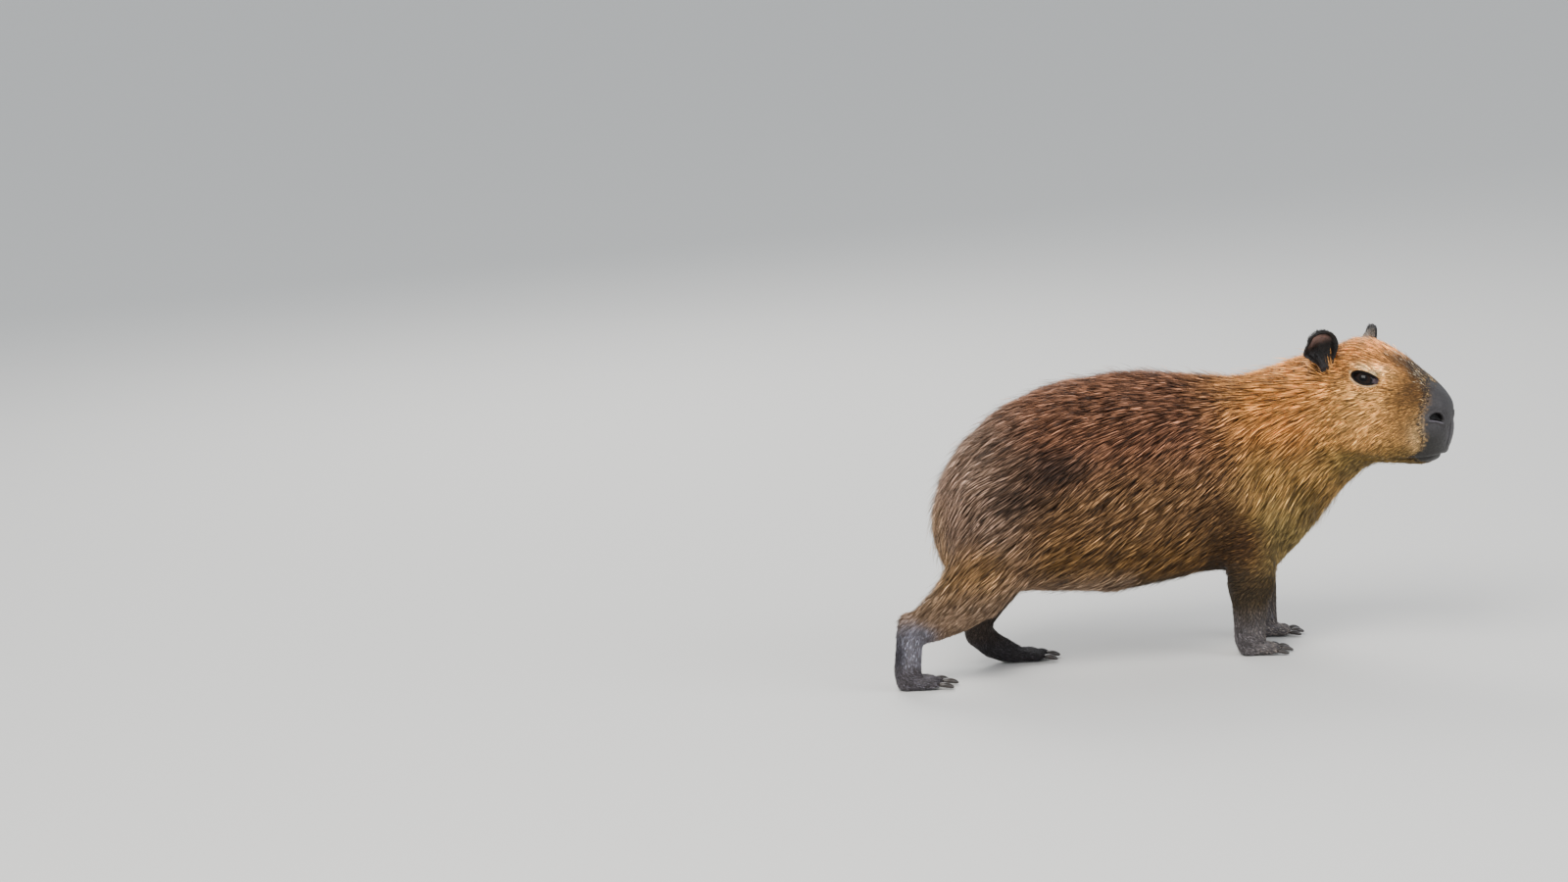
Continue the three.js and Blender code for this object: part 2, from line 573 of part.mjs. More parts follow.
// Walks over a surface by a distance in a direction, and gives the new place.
function walk(surface, spot, direction, distance) {
  const { byIndex, byAngle, normal } = frameAt(surface, spot);
  const flat = direction.clone().addScaledVector(normal, -direction.dot(normal)).normalize();
  const a = byIndex.dot(byIndex);
  const b = byIndex.dot(byAngle);
  const c = byAngle.dot(byAngle);
  const p = flat.dot(byIndex);
  const q = flat.dot(byAngle);
  const det = a * c - b * b;
  return {
    index: spot.index + distance * (c * p - b * q) / det,
    angle: spot.angle + distance * (a * q - b * p) / det,
  };
}

// One flat, tapered lock: it starts inside the core, lies back over it and ends at the tips of the coat.
function lockGeometry(surface, root, lie, { size, lift = 0, depth = 1 }, finish) {
  const rings = [];
  let spot = root;
  let travelled = 0;
  const put = (where, height) => {
    const { here, normal } = frameAt(surface, where);
    return finish(here.addScaledVector(normal, height));
  };
  const stride = 0.12;
  lock.stations.forEach((share, n) => {
    while (travelled < share - 1e-6) {
      const step = Math.min(stride, share - travelled);
      spot = walk(surface, spot, lie(frameAt(surface, spot).here), step * lock.length * size);
      travelled += step;
    }
    const { here, normal } = frameAt(surface, spot);
    const across = normal.clone().cross(lie(here)).normalize();
    const half = lock.half * size * lock.widths[n];
    const crest = depth * (lock.crests[n] + lift * share);
    const thick = depth * lock.thick[n];
    const edge = crest - lock.edgeDrop * thick;
    const left = walk(surface, spot, across, half);
    const right = walk(surface, spot, across.clone().negate(), half);
    rings.push([put(left, edge), put(spot, crest), put(right, edge), put(spot, crest - thick)]);
  });
  const tip = walk(surface, spot, lie(frameAt(surface, spot).here), (1 - travelled) * lock.length * size);
  const middle = rings[0].reduce((sum, p) => sum.add(p), new THREE.Vector3()).multiplyScalar(0.25);
  return closedRings(rings, middle, put(tip, depth * (lock.tipCrest + lift)));
}

// Which way the hair lies, before the neck bends: back along the body, and down more towards the rump.
function trunkLie(p) {
  const { side, rump, neck } = lieDown;
  const towardsRump = THREE.MathUtils.smoothstep(-p.x, rump.start, rump.end);
  const onNeck = THREE.MathUtils.smoothstep(p.x, neck.start, neck.end);
  const down = side + rump.more * towardsRump + neck.more * onNeck;
  return new THREE.Vector3(-1, 0, -down).normalize();
}

const trunkSurface = { at: trunkPoint, turn: 1 };

// How far it is round the trunk.
function aroundTrunk(index) {
  const ring = ringOf(36, (angle) => trunkPoint(index, angle));
  return ring.reduce((sum, p, j) => sum + p.distanceTo(ring[(j + 1) % ring.length]), 0);
}

// Locks over the trunk in staggered rows, from the rump to behind the cheeks.
function trunkLocks(random) {
  const locks = [];
  const lengthOf = (a, b) => trunkPoint(a, Math.PI / 2).distanceTo(trunkPoint(b, Math.PI / 2));
  let index = coatRows.first;
  let stagger = 0;
  while (index < coatRows.last) {
    const count = Math.max(6, Math.round(aroundTrunk(index) / lock.acrossPitch));
    for (let j = 0; j < count; j += 1) {
      const spot = {
        index: index + variety.index * (random() - 0.5),
        angle: 2 * Math.PI * (j + stagger + variety.angle * (random() - 0.5)) / count,
      };
      const size = 1 + variety.size * (random() - 0.5);
      const twist = variety.twist * (random() - 0.5);
      const lift = variety.lift * (random() - 0.3);
      const lie = (p) => trunkLie(p).add(new THREE.Vector3(0, 0, twist));
      if (bareSpot(trunkPoint(spot.index, spot.angle))) continue;
      locks.push(lockGeometry(trunkSurface, spot, lie, { size, lift }, (p) => place(p.x, p.y, p.z)));
    }
    stagger = 0.5 - stagger;
    let next = index;
    while (lengthOf(index, next) < lock.alongPitch && next < coatRows.last + 1) next += 0.05;
    index = next;
  }
  return locks;
}

// Places with no lock: under the belly between the legs, where the legs spring from, and the rump's very end.
function bareSpot(p) {
  const inLeg = Object.values(limbs).some(({ side, bare }) => (
    side * p.y > legInside && Math.hypot(p.x - bare.x, p.z - bare.z) < bare.reach
  ));
  return inLeg || (p.z < bareBelly.below && Math.abs(p.y) < bareBelly.half);
}

// Locks down the outside, back and front of a haunch and shank.
function limbLocks(limb, random) {
  const locks = [];
  const rows = sided(coated(limb.rows, 0), limb.side);
  const at = (index, angle) => limbPoint(rows, THREE.MathUtils.clamp(index, 0, rows.length - 1), angle);
  limb.lockRows.forEach(({ index, angles, size, back }) => {
    angles.forEach((angle) => {
      const spot = {
        index: index + limbVariety.index * (random() - 0.5),
        angle: limb.side * (angle + limbVariety.angle * (random() - 0.5)),
      };
      const lie = () => new THREE.Vector3(-back, 0, -1);
      locks.push(lockGeometry({ at, turn: -1 }, spot, lie, { size, depth: limbLockDepth }, (p) => p));
    });
  });
  return locks;
}

// A foot's toes and claws. Each toe's four rows run from inside the foot to its tip, in shares of its length.
function footSolids(name) {
  const foot = feet[name];
  const { side } = limbs[name];
  const toes = [];
  const claws = [];
  foot.toes.forEach(([offset, length, splay]) => {
    const r = foot.radius;
    const out = side * splay;
    const at = (d, z, deep, wide) => [
      foot.x + d * Math.cos(out), side * (foot.y + offset) + d * Math.sin(out), z, deep, wide,
    ];
    toes.push(limbGeometry([
      at(-6, r + 2, r, r * 0.8),
      at(length * 0.3, r, r + 1.5, r),
      at(length * 0.7, r - 1.5, r, r * 0.95),
      at(length * 0.95, r - 2.5, r * 0.7, r * 0.75),
    ], sides.toe));
    claws.push(limbGeometry([
      at(length * 0.8, r * 0.8, r * 0.4, r * 0.55),
      at(length, r * 0.78, r * 0.52, r * 0.72),
      at(length + foot.claw * 0.6, r * 0.55, r * 0.42, r * 0.6),
      at(length + foot.claw, r * 0.35, r * 0.22, r * 0.34),
    ], sides.claw));
  });
  return { toes, claws };
}

// Puts the model together.
const colours = {
  coat: new THREE.MeshStandardMaterial({ color: 0x7a4a26, roughness: 0.85, metalness: 0 }),
  neck: new THREE.MeshStandardMaterial({ color: 0x9c6530, roughness: 0.85, metalness: 0 }),
  face: new THREE.MeshStandardMaterial({ color: 0xa0764a, roughness: 0.85, metalness: 0 }),
  darkSkin: new THREE.MeshStandardMaterial({ color: 0x3a3230, roughness: 0.7, metalness: 0 }),
  foot: new THREE.MeshStandardMaterial({ color: 0x4a4440, roughness: 0.75, metalness: 0 }),
  eye: new THREE.MeshStandardMaterial({ color: 0x0b0807, roughness: 0.12, metalness: 0 }),
  claw: new THREE.MeshStandardMaterial({ color: 0x2a2523, roughness: 0.45, metalness: 0 }),
};

const animal = new THREE.Group();
function addNode(name, solid, material) {
  const mesh = new THREE.Mesh(toGeometry(solid), material);
  mesh.name = name;
  animal.add(mesh);
}

const floor = blockBeyond(new THREE.Vector3(0, 0, 0), new THREE.Vector3(0, 0, -1), 0);
const trunk = coreGeometry();
const headSurface = toSolid(grown(trunk, gap));
const random = randomStream(coatSeed);
let whole = toSolid(trunk);
Object.values(limbs).forEach((limb) => {
  const rows = limb.lockRows ? coated(limb.rows, limbCore) : limb.rows;
  whole = whole.add(toSolid(limbGeometry(sided(rows, limb.side), sides.limb)));
  if (limb.foot) whole = whole.add(toSolid(limbGeometry(sided(limb.foot, limb.side), sides.foot)));
});

const locks = trunkLocks(random);
Object.values(limbs).filter((limb) => limb.lockRows).forEach((limb) => locks.push(...limbLocks(limb, random)));
locks.forEach((geometry) => { whole = whole.add(toSolid(geometry)); });

// Feet, legs and claws.
let body = whole;
Object.entries(limbs).forEach(([name, limb]) => {
  body = body.subtract(toSolid(legRegion(limb, gap)));
  const { toes, claws } = footSolids(name);
  const leg = parted(whole.intersect(toSolid(legRegion(limb, 0))), new THREE.Vector3(0, 0, limb.ankle),
    new THREE.Vector3(0, 0, -1));
  let foot = leg.beyond;
  toes.forEach((toe) => { foot = foot.add(toSolid(toe)); });
  foot = foot.subtract(floor);
  claws.forEach((claw, i) => {
    foot = foot.subtract(toSolid(grown(claw, gap)));
    addNode(`claw_${name}_${i + 1}`, toSolid(claw), colours.claw);
  });
  addNode(`leg_${name}`, leg.before, colours.coat);
  addNode(`foot_${name}`, foot, colours.foot);
});

// Tail, torso, neck and head.
const tail = limbGeometry(tailRows, sides.tail);
const neckAngle = headTurn * neckCut.share;
const neckNormal = new THREE.Vector3(
  neckCut.forward * Math.cos(neckAngle), -neckCut.forward * Math.sin(neckAngle), neckCut.up,
).normalize();
const atNeck = parted(body, new THREE.Vector3(...neckCut.at), neckNormal);
const headNormal = headDirection(headCut.forward, 0, headCut.up);
const atHead = parted(atNeck.beyond, place(headCut.s, 0, headCut.z), headNormal);
addNode('torso', atNeck.before.subtract(toSolid(grown(tail, gap))), colours.coat);
addNode('tail', toSolid(tail), colours.coat);
addNode('neck', atHead.before, colours.neck);

let head = atHead.beyond.subtract(mouthSolid(trunk));
const cleft = new THREE.SphereGeometry(1, 8, 8).scale(...lipCleft.size).translate(lipCleft.s, 0, lipCleft.z);
head = head.subtract(toSolid(placed(cleft)));
[['right', -1], ['left', 1]].forEach(([name, side]) => {
  const { ball, socket, lids, opening } = eyeSolids(side);
  head = head.add(lids).subtract(socket).subtract(opening).subtract(nostrilSolid(side));
  addNode(`eye_${name}`, ball, colours.eye);
  addNode(`ear_${name}`, toSolid(earGeometry(side, earTurns[name])).subtract(headSurface), colours.darkSkin);
});
addNode('head', head, colours.face);

// The origin is the middle of the model's box, on the floor.
const box = new THREE.Box3().setFromObject(animal);
animal.position.set(-(box.min.x + box.max.x) / 2, -(box.min.y + box.max.y) / 2, 0);

export default animal;
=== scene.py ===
import math
from contextlib import contextmanager
from dataclasses import dataclass

import bmesh
import bpy
import numpy as np
import openvdb
from mathutils import Matrix, Vector
from mathutils.kdtree import KDTree


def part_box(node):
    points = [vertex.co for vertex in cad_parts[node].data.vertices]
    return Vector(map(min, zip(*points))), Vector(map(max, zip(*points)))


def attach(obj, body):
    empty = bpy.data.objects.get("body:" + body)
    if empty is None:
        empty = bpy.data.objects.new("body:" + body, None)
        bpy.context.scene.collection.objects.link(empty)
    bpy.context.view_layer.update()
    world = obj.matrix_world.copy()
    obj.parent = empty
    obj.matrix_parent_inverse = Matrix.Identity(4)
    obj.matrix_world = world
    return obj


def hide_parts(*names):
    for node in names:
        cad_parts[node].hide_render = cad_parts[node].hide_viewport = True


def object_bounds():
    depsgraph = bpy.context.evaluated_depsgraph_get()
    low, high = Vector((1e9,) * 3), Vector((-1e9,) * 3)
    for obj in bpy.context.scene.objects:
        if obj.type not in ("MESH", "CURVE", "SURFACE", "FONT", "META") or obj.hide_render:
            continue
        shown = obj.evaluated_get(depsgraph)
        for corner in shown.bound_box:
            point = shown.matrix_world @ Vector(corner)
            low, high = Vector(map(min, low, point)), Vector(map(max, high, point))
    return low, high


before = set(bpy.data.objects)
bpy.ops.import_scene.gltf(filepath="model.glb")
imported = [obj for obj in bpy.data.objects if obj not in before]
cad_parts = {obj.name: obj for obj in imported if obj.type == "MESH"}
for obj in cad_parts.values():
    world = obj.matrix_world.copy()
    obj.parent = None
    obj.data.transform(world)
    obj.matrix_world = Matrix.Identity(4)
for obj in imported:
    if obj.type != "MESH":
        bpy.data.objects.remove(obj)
cad_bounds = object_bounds()

# The animal is measured in its own straight frame: along the body, to its left, and up.
# The neck turns the head to the right over its length and rolls it a little.
MM = 0.001
NECK_START = 205 * MM
NECK_LENGTH = 150 * MM
HEAD_TURN = math.radians(42)
HEAD_ROLL = math.radians(6)
ROLL_HEIGHT = 360 * MM
NECK_RADIUS = NECK_LENGTH / HEAD_TURN
RIGHT, LEFT = -1, 1
SIDE_NAMES = {RIGHT: "right", LEFT: "left"}

EYE_PLACE = np.array([465.5, 51, 415.5]) * MM
EYE_OUT = np.array([0.22, 0.94, 0.24])
EYE_DEPTH = 13 * MM
EYE_RADIUS = 15 * MM

FLESH = [
    "torso", "neck", "head", "tail",
    "leg_front_right", "leg_front_left", "leg_hind_right", "leg_hind_left",
    "foot_front_right", "foot_front_left", "foot_hind_right", "foot_hind_left",
]


def unit(vectors):
    """Vectors at length one."""
    return vectors / np.maximum(np.linalg.norm(vectors, axis=-1, keepdims=True), 1e-12)


def square_to(directions, normals):
    """Directions turned square to normals, at length one."""
    return unit(directions - (directions * normals).sum(-1, keepdims=True) * normals)


def smoothstep(value, low, high):
    """0 below low, 1 above high, and a smooth rise between."""
    t = np.clip((value - low) / (high - low), 0, 1)
    return t * t * (3 - 2 * t)


def above(value, low, high):
    """The same rise, with its limits in millimetres."""
    return smoothstep(value, low * MM, high * MM)


def below(value, low, high):
    """1 below low and 0 above high, in millimetres."""
    return 1 - above(value, low, high)


def mix(a, b, share):
    """a where share is 0 and b where it is 1."""
    return a + (b - a) * share


def layered(start, *layers):
    """A value changed towards others in turn, each by its share."""
    for value, share in layers:
        start = mix(start, value, share)
    return start


def painted(start, *layers):
    """The same for rows such as colours, with a share for each row."""
    return layered(start, *((value, share[:, None]) for value, share in layers))


def columns(*values):
    """Arrays side by side, as the columns of one."""
    return np.stack(values, axis=1)


def bell(value, middle, width):
    """1 at the middle, falling to nothing a few widths away."""
    return np.exp(-((value - middle) / width) ** 2)


# The bend of the neck, from the straight frame to the row frame and back.
def neck_share(along):
    """How much of the neck's bend lies behind a place along the body."""
    return np.clip((along - NECK_START) / NECK_LENGTH, 0, 1)


def turned(forward, side, up, share):
    """Directions turned by a share of the neck's bend."""
    turn, roll = HEAD_TURN * share, HEAD_ROLL * share
    out = side * np.cos(roll) + up * np.sin(roll)
    return columns(
        forward * np.cos(turn) + out * np.sin(turn), out * np.cos(turn) - forward * np.sin(turn),
        up * np.cos(roll) - side * np.sin(roll))


def bend_turned(points):
    """Straight-frame points, bent, before the row's origin is taken off."""
    along, side, up = np.atleast_2d(points).T
    share = neck_share(along)
    turn = HEAD_TURN * share
    round_bend = NECK_RADIUS * columns(np.sin(turn), np.cos(turn), 0 * turn)
    middle = [NECK_START, -NECK_RADIUS, ROLL_HEIGHT] + round_bend
    return middle + turned(along - NECK_START - share * NECK_LENGTH, side, up - ROLL_HEIGHT, share)


def bend_direction(vectors, along):
    """Straight-frame directions at places along the body, turned with the neck."""
    return turned(*np.broadcast_to(vectors, (len(along), 3)).T, neck_share(along))


def head_direction(forward, side, up):
    """A direction on the turned head, at length one."""
    return unit(bend_direction([forward, side, up], np.array([1.0]))[0])


def eye_out(side):
    """The way an eye looks."""
    return head_direction(*EYE_OUT * [1, side, 1])


def turned_eye(side):
    """An eyeball's centre before the row's origin is taken off."""
    return bend_turned(EYE_PLACE * [1, side, 1])[0] - EYE_DEPTH * eye_out(side)


eye_low, eye_high = (np.array(corner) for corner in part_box("eye_right"))
ORIGIN = turned_eye(RIGHT) - (eye_low + eye_high) / 2


def bent(points):
    """Straight-frame points in the row frame."""
    return bend_turned(points) - ORIGIN


def straightened(points):
    """Row-frame points in the straight frame."""
    x, y, z = (points + ORIGIN).T
    turn = np.clip(np.arctan2(x - NECK_START, y + NECK_RADIUS), 0, HEAD_TURN)
    share = turn / HEAD_TURN
    dx = x - NECK_START - NECK_RADIUS * np.sin(turn)
    dy = y + NECK_RADIUS * (1 - np.cos(turn))
    beyond = dx * np.cos(turn) - dy * np.sin(turn)
    out = dx * np.sin(turn) + dy * np.cos(turn)
    roll = HEAD_ROLL * share
    rise = z - ROLL_HEIGHT
    return columns(
        NECK_START + share * NECK_LENGTH + beyond, out * np.cos(roll) - rise * np.sin(roll),
        ROLL_HEIGHT + out * np.sin(roll) + rise * np.cos(roll))


# Smooth noise, the same each run.
NOISE_SIZE = 32
NOISE = np.random.default_rng(5).random((NOISE_SIZE,) * 3) * 2 - 1


def between_points(grid, cell, t):
    """A grid's values between its points: t is how far each place is across its cell on each axis."""
    total = 0
    for corner in np.ndindex(2, 2, 2):
        i, j, k = (cell + corner).T % np.array(grid.shape)[:, None]
        total = total + np.prod(np.where(corner, t, 1 - t), axis=1) * grid[i, j, k]
    return total


def noise(points, scale, offset=0.0):
    """Smooth noise from -1 to 1 with features about scale millimetres wide."""
    q = points / (scale * MM) + offset
    cell = np.floor(q).astype(int)
    return between_points(NOISE, cell, smoothstep(q - cell, 0, 1))


# Shapes.
def placed(name, data):
    """A new object in the scene."""
    piece = bpy.data.objects.new(name, data)
    bpy.context.scene.collection.objects.link(piece)
    return piece


def dress(piece, finish, slot, *stands_for):
    """Gives a piece its material and its body, and hides the nodes that it replaces; the slot is not used."""
    piece.data.materials.append(finish)
    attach(piece, "root")
    if stands_for:
        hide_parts(*stands_for)


def new_mesh(name, points, faces):
    """A mesh object from points and faces."""
    mesh = bpy.data.meshes.new(name)
    mesh.from_pydata([tuple(p) for p in points], [], [tuple(int(i) for i in f) for f in faces])
    mesh.update()
    return placed(name, mesh)


def shade_smooth(piece):
    piece.data.polygons.foreach_set("use_smooth", [True] * len(piece.data.polygons))


def read(items, key, kind=np.float32):
    """One property of a mesh's items, three values a row."""
    flat = np.empty(len(items) * 3, kind)
    items.foreach_get(key, flat)
    return flat.reshape(-1, 3)


def points_of(piece):
    return read(piece.data.vertices, "co").astype(float)


def normals_of(piece):
    return read(piece.data.vertex_normals, "vector").astype(float)


def triangles_of(piece):
    """A mesh's faces as triangles of point numbers."""
    piece.data.calc_loop_triangles()
    return read(piece.data.loop_triangles, "vertices", np.int32)


def set_points(piece, points):
    piece.data.vertices.foreach_set("co", points.astype(np.float32).ravel())
    piece.data.update()


@contextmanager
def edited(piece):
    """A piece's mesh open for changes, which are kept at the end."""
    mesh = bmesh.new()
    mesh.from_mesh(piece.data)
    yield mesh
    mesh.to_mesh(piece.data)
    mesh.free()


def set_colours(piece, colours):
    """The markings' colours on the points of a mesh."""
    attribute = piece.data.attributes.new("markings", "FLOAT_COLOR", "POINT")
    rgba = np.ones((len(colours), 4), np.float32)
    rgba[:, :3] = colours
    attribute.data.foreach_set("color", rgba.ravel())


def round_faces(count, rows):
    """Faces between rows of points that go round, each row with the same count."""
    faces = []
    for here, there in rows:
        for j in range(count):
            k = (j + 1) % count
            faces.append((here * count + j, here * count + k, there * count + k, there * count + j))
    return faces


def facing_out(piece):
    """Turns a closed mesh's faces outward, and shades them smooth."""
    with edited(piece) as mesh:
        bmesh.ops.recalc_face_normals(mesh, faces=mesh.faces)
    shade_smooth(piece)
    return piece


def lathe(name, rings):
    """A closed tube through rings of points, which all have the same count, with both ends capped."""
    count, last = len(rings[0]), len(rings) - 1
    points = [p for ring in rings for p in ring]
    faces = round_faces(count, [(i, i + 1) for i in range(last)])
    for row in (0, last):
        middle = len(points)
        points.append(np.mean(rings[row], axis=0))
        for j in range(count):
            faces.append((row * count + j, row * count + (j + 1) % count, middle))
    return facing_out(new_mesh(name, points, faces))


def closed_tube(name, rings):
    """A tube through rings of points that comes back to where it began."""
    rows = [(i, (i + 1) % len(rings)) for i in range(len(rings))]
    return facing_out(new_mesh(name, np.concatenate(rings), round_faces(len(rings[0]), rows)))


# The body as a field of distances: the solids joined, then softened, with the coat's depth taken off.
VOXEL = 2 * MM
FIELD_BAND = 9
SEAM_FILL = 0.7
FINE_BLUR = 2.0
COARSE_BLUR = 3.6


def level_set(points, faces):
    """Distances in voxels from a closed surface given in voxels."""
    return openvdb.FloatGrid.createLevelSetFromPolygons(
        points.astype(np.float32), triangles=faces[:, :3].astype(np.uint32) if faces.shape[1] == 3 else None,
        quads=faces.astype(np.uint32) if faces.shape[1] == 4 else None, halfWidth=FIELD_BAND)


def blurred(values, width):
    """Values blurred by a bell curve that many voxels wide, on each axis in turn."""
    reach = int(math.ceil(2.5 * width))
    offsets = np.arange(-reach, reach + 1)
    weights = np.exp(-0.5 * (offsets / width) ** 2)
    weights /= weights.sum()
    for axis in range(3):
        padded = np.pad(values, [(reach, reach) if a == axis else (0, 0) for a in range(3)], mode="edge")
        total = np.zeros_like(values)
        for offset, weight in zip(offsets, weights):
            start = reach + offset
            total += np.float32(weight) * np.take(padded, range(start, start + values.shape[axis]), axis=axis)
        values = total
    return values


class Field:
    """A grid of distances, in metres, that is read anywhere between its points."""

    def __init__(self, values, corner):
        self.values, self.corner = values, np.array(corner, float)

    def at(self, points):
        q = np.clip(points / VOXEL - self.corner, 0, np.array(self.values.shape) - 1.001)
        cell = q.astype(int)
        return between_points(self.values, cell, q - cell) * VOXEL


def flesh_fields():
    """The joined solids as a finely and a coarsely blurred field."""
    points, faces, count = [], [], 0
    for name in FLESH + ["eye_right", "eye_left"]:
        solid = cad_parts[name]
        points.append(points_of(solid))
        faces.append(triangles_of(solid) + count)
        count += len(points[-1])
    grid = level_set(np.concatenate(points) / VOXEL, np.concatenate(faces))
    shell, quads = grid.convertToQuads(isovalue=SEAM_FILL)
    grid = level_set(shell, quads)
    low, high = grid.evalActiveVoxelBoundingBox()
    values = np.empty([h - l + 1 for l, h in zip(low, high)], np.float32)
    grid.copyToArray(values, ijk=low)
    values += SEAM_FILL
    return Field(blurred(values, FINE_BLUR), low), Field(blurred(values, COARSE_BLUR), low)


fine_field, coarse_field = flesh_fields()

# How much of the coat's depth lies between the skin and the outline, by place.
BODY_INSET = 3.4 * MM
FACE_INSET = 0.9 * MM
LIMB_INSET = 1.4 * MM
FACE_START, FACE_END = 375 * MM, 440 * MM
LIMB_LOW, LIMB_HIGH = 95 * MM, 150 * MM


def face_share(s):
    """0 on the body and 1 on the face."""
    return smoothstep(s[:, 0], FACE_START, FACE_END)


def body_share(s):
    """1 on the body's long coat, and 0 on the face, lower legs and feet."""
    return (1 - face_share(s)) * smoothstep(s[:, 2], LIMB_LOW, LIMB_HIGH)


def skin_field(points):
    """Distance from the skin, before its folds."""
    s = straightened(points)
    body = body_share(s)
    inset = mix(mix(LIMB_INSET, FACE_INSET, face_share(s)), BODY_INSET, body)
    return mix(fine_field.at(points), coarse_field.at(points), body) + inset


def gradient(field, points, step=0.8 * MM):
    """Which way a field rises."""
    out = np.empty_like(points)
    for axis in range(3):
        move = np.zeros(3)
        move[axis] = step
        out[:, axis] = (field(points + move) - field(points - move)) / (2 * step)
    return out


def settle(points, field, rounds=3):
    """Points moved onto a field's surface."""
    for _ in range(rounds):
        slope = gradient(field, points)
        points = points - field(points)[:, None] * slope / np.maximum((slope ** 2).sum(1, keepdims=True), 0.2)
    return points


# The skin's mesh: even squares, halved on the head and halved again round the eyes, nostrils and mouth.
SKIN_SQUARE = 4.2 * MM
NOSTRIL_PLACE = np.array([568.5, 25.5, 361.5]) * MM
NOSTRIL_OUT = np.array([0.72, 0.68, 0.12])
NOSTRIL_SLIT = np.array([0.55, -0.62, -0.16])
MOUTH_LINE = np.array([
    [600, 318], [588, 314], [574, 307], [556, 302], [540, 299.5], [524, 299], [514, 301],
]) * MM


def skin_mesh():
    """The skin as a mesh, settled on its field."""
    margin = 8 * MM
    low = np.array(cad_bounds[0]) - margin
    high = np.array(cad_bounds[1]) + margin
    axes = [np.arange(a, b, SKIN_SQUARE) for a, b in zip(low, high)]
    values = np.empty([len(a) for a in axes], np.float32)
    for i, x in enumerate(axes[0]):
        y, z = np.meshgrid(axes[1], axes[2], indexing="ij")
        plane = np.stack([np.full(y.size, x), y.ravel(), z.ravel()], axis=1)
        values[i] = skin_field(plane).reshape(y.shape)
    grid = openvdb.FloatGrid(1.0)
    grid.copyFromArray(values)
    points, quads = grid.convertToQuads(isovalue=0.0)
    points = points * SKIN_SQUARE + low
    piece = new_mesh("skin", points, quads)
    with edited(piece) as mesh:
        for wanted in (on_head, near_features):
            centres = np.array([f.calc_center_median() for f in mesh.faces])
            chosen = wanted(straightened(centres))
            edges = {e for f, take in zip(mesh.faces, chosen) if take for e in f.edges}
            bmesh.ops.subdivide_edges(mesh, edges=list(edges), cuts=1, use_grid_fill=True)
    facing_out(piece)
    set_points(piece, settle(points_of(piece), skin_field))
    return piece


def on_head(s):
    return s[:, 0] > 365 * MM


def mirrored(s):
    """Places of both sides of the body on its left side."""
    return columns(s[:, 0], np.abs(s[:, 1]), s[:, 2])


def blob(s, place, reach):
    """1 at a place in millimetres, fading over a reach on each axis."""
    away = (s - np.array(place) * MM) / (np.array(reach) * MM)
    return np.exp(-(away ** 2).sum(1))


def near_features(s):
    """Round the eyes, the nostrils and the mouth."""
    eye = np.linalg.norm(mirrored(s) - EYE_PLACE, axis=1) < 30 * MM
    nose = np.linalg.norm(mirrored(s) - NOSTRIL_PLACE, axis=1) < 20 * MM
    mouth = (line_distance(s[:, [0, 2]], MOUTH_LINE) < 8 * MM) & (s[:, 2] > 285 * MM)
    return eye | nose | mouth


def line_distance(points, line):
    """How far flat points are from a line of short straight stretches."""
    best = np.full(len(points), np.inf)
    for a, b in zip(line[:-1], line[1:]):
        along = b - a
        t = np.clip(((points - a) @ along) / (along @ along), 0, 1)
        best = np.minimum(best, np.linalg.norm(points - a - t[:, None] * along, axis=1))
    return best


# Forms of the head that stand out of the skin or sink into it: place, reach on each axis, and height.
HEAD_FORMS = [
    ((466, 47, 435), (22, 12, 7), 2.2),
    ((496, 44, 404), (12, 10, 14), -1.8),
    ((452, 57, 388), (18, 12, 10), 1.2),
    ((448, 60, 340), (34, 20, 30), 2.4),
    ((520, 50, 330), (26, 16, 16), 1.8),
    ((505, 46, 372), (24, 14, 16), -1.6),
    ((562, 34, 338), (14, 12, 16), 1.4),
    ((550, 18, 398), (18, 12, 10), 1.0),
    ((430, 30, 452), (20, 16, 10), 1.0),
    ((560, 20, 306), (14, 14, 6), 0.8),
]
NOSTRIL_FLARE = 1.7 * MM
NOSTRIL_DEEP = 7.5 * MM
NOSTRIL_HALF = np.array([12.0, 6.2]) * MM
MOUTH_DEEP, MOUTH_HALF = 3.0 * MM, 1.6 * MM
LIP_ROLL, LIP_AWAY, LIP_HALF = 1.3 * MM, 4.5 * MM, 3 * MM
CLEFT_DEEP, CLEFT_HALF = 2.2 * MM, 1.8 * MM


def nostril_axes(side):
    """A nostril's slit direction, its height direction and the way it faces, in the straight frame."""
    out = unit(NOSTRIL_OUT * [1, side, 1])
    slit = square_to(NOSTRIL_SLIT * [1, side, 1], out)
    return slit, np.cross(out, slit), out


def nostril_share(s, side):
    """How far places are from a nostril's middle, 1 at its rim, and how high they are within it."""
    slit, high, out = nostril_axes(side)
    offset = s - NOSTRIL_PLACE * [1, side, 1]
    along, up = offset @ slit, offset @ high
    up = up + 0.35 * along ** 2 / NOSTRIL_HALF[0]
    r = np.hypot(along / NOSTRIL_HALF[0], up / NOSTRIL_HALF[1])
    return np.where(np.abs(offset @ out) < 18 * MM, r, 9.0), up


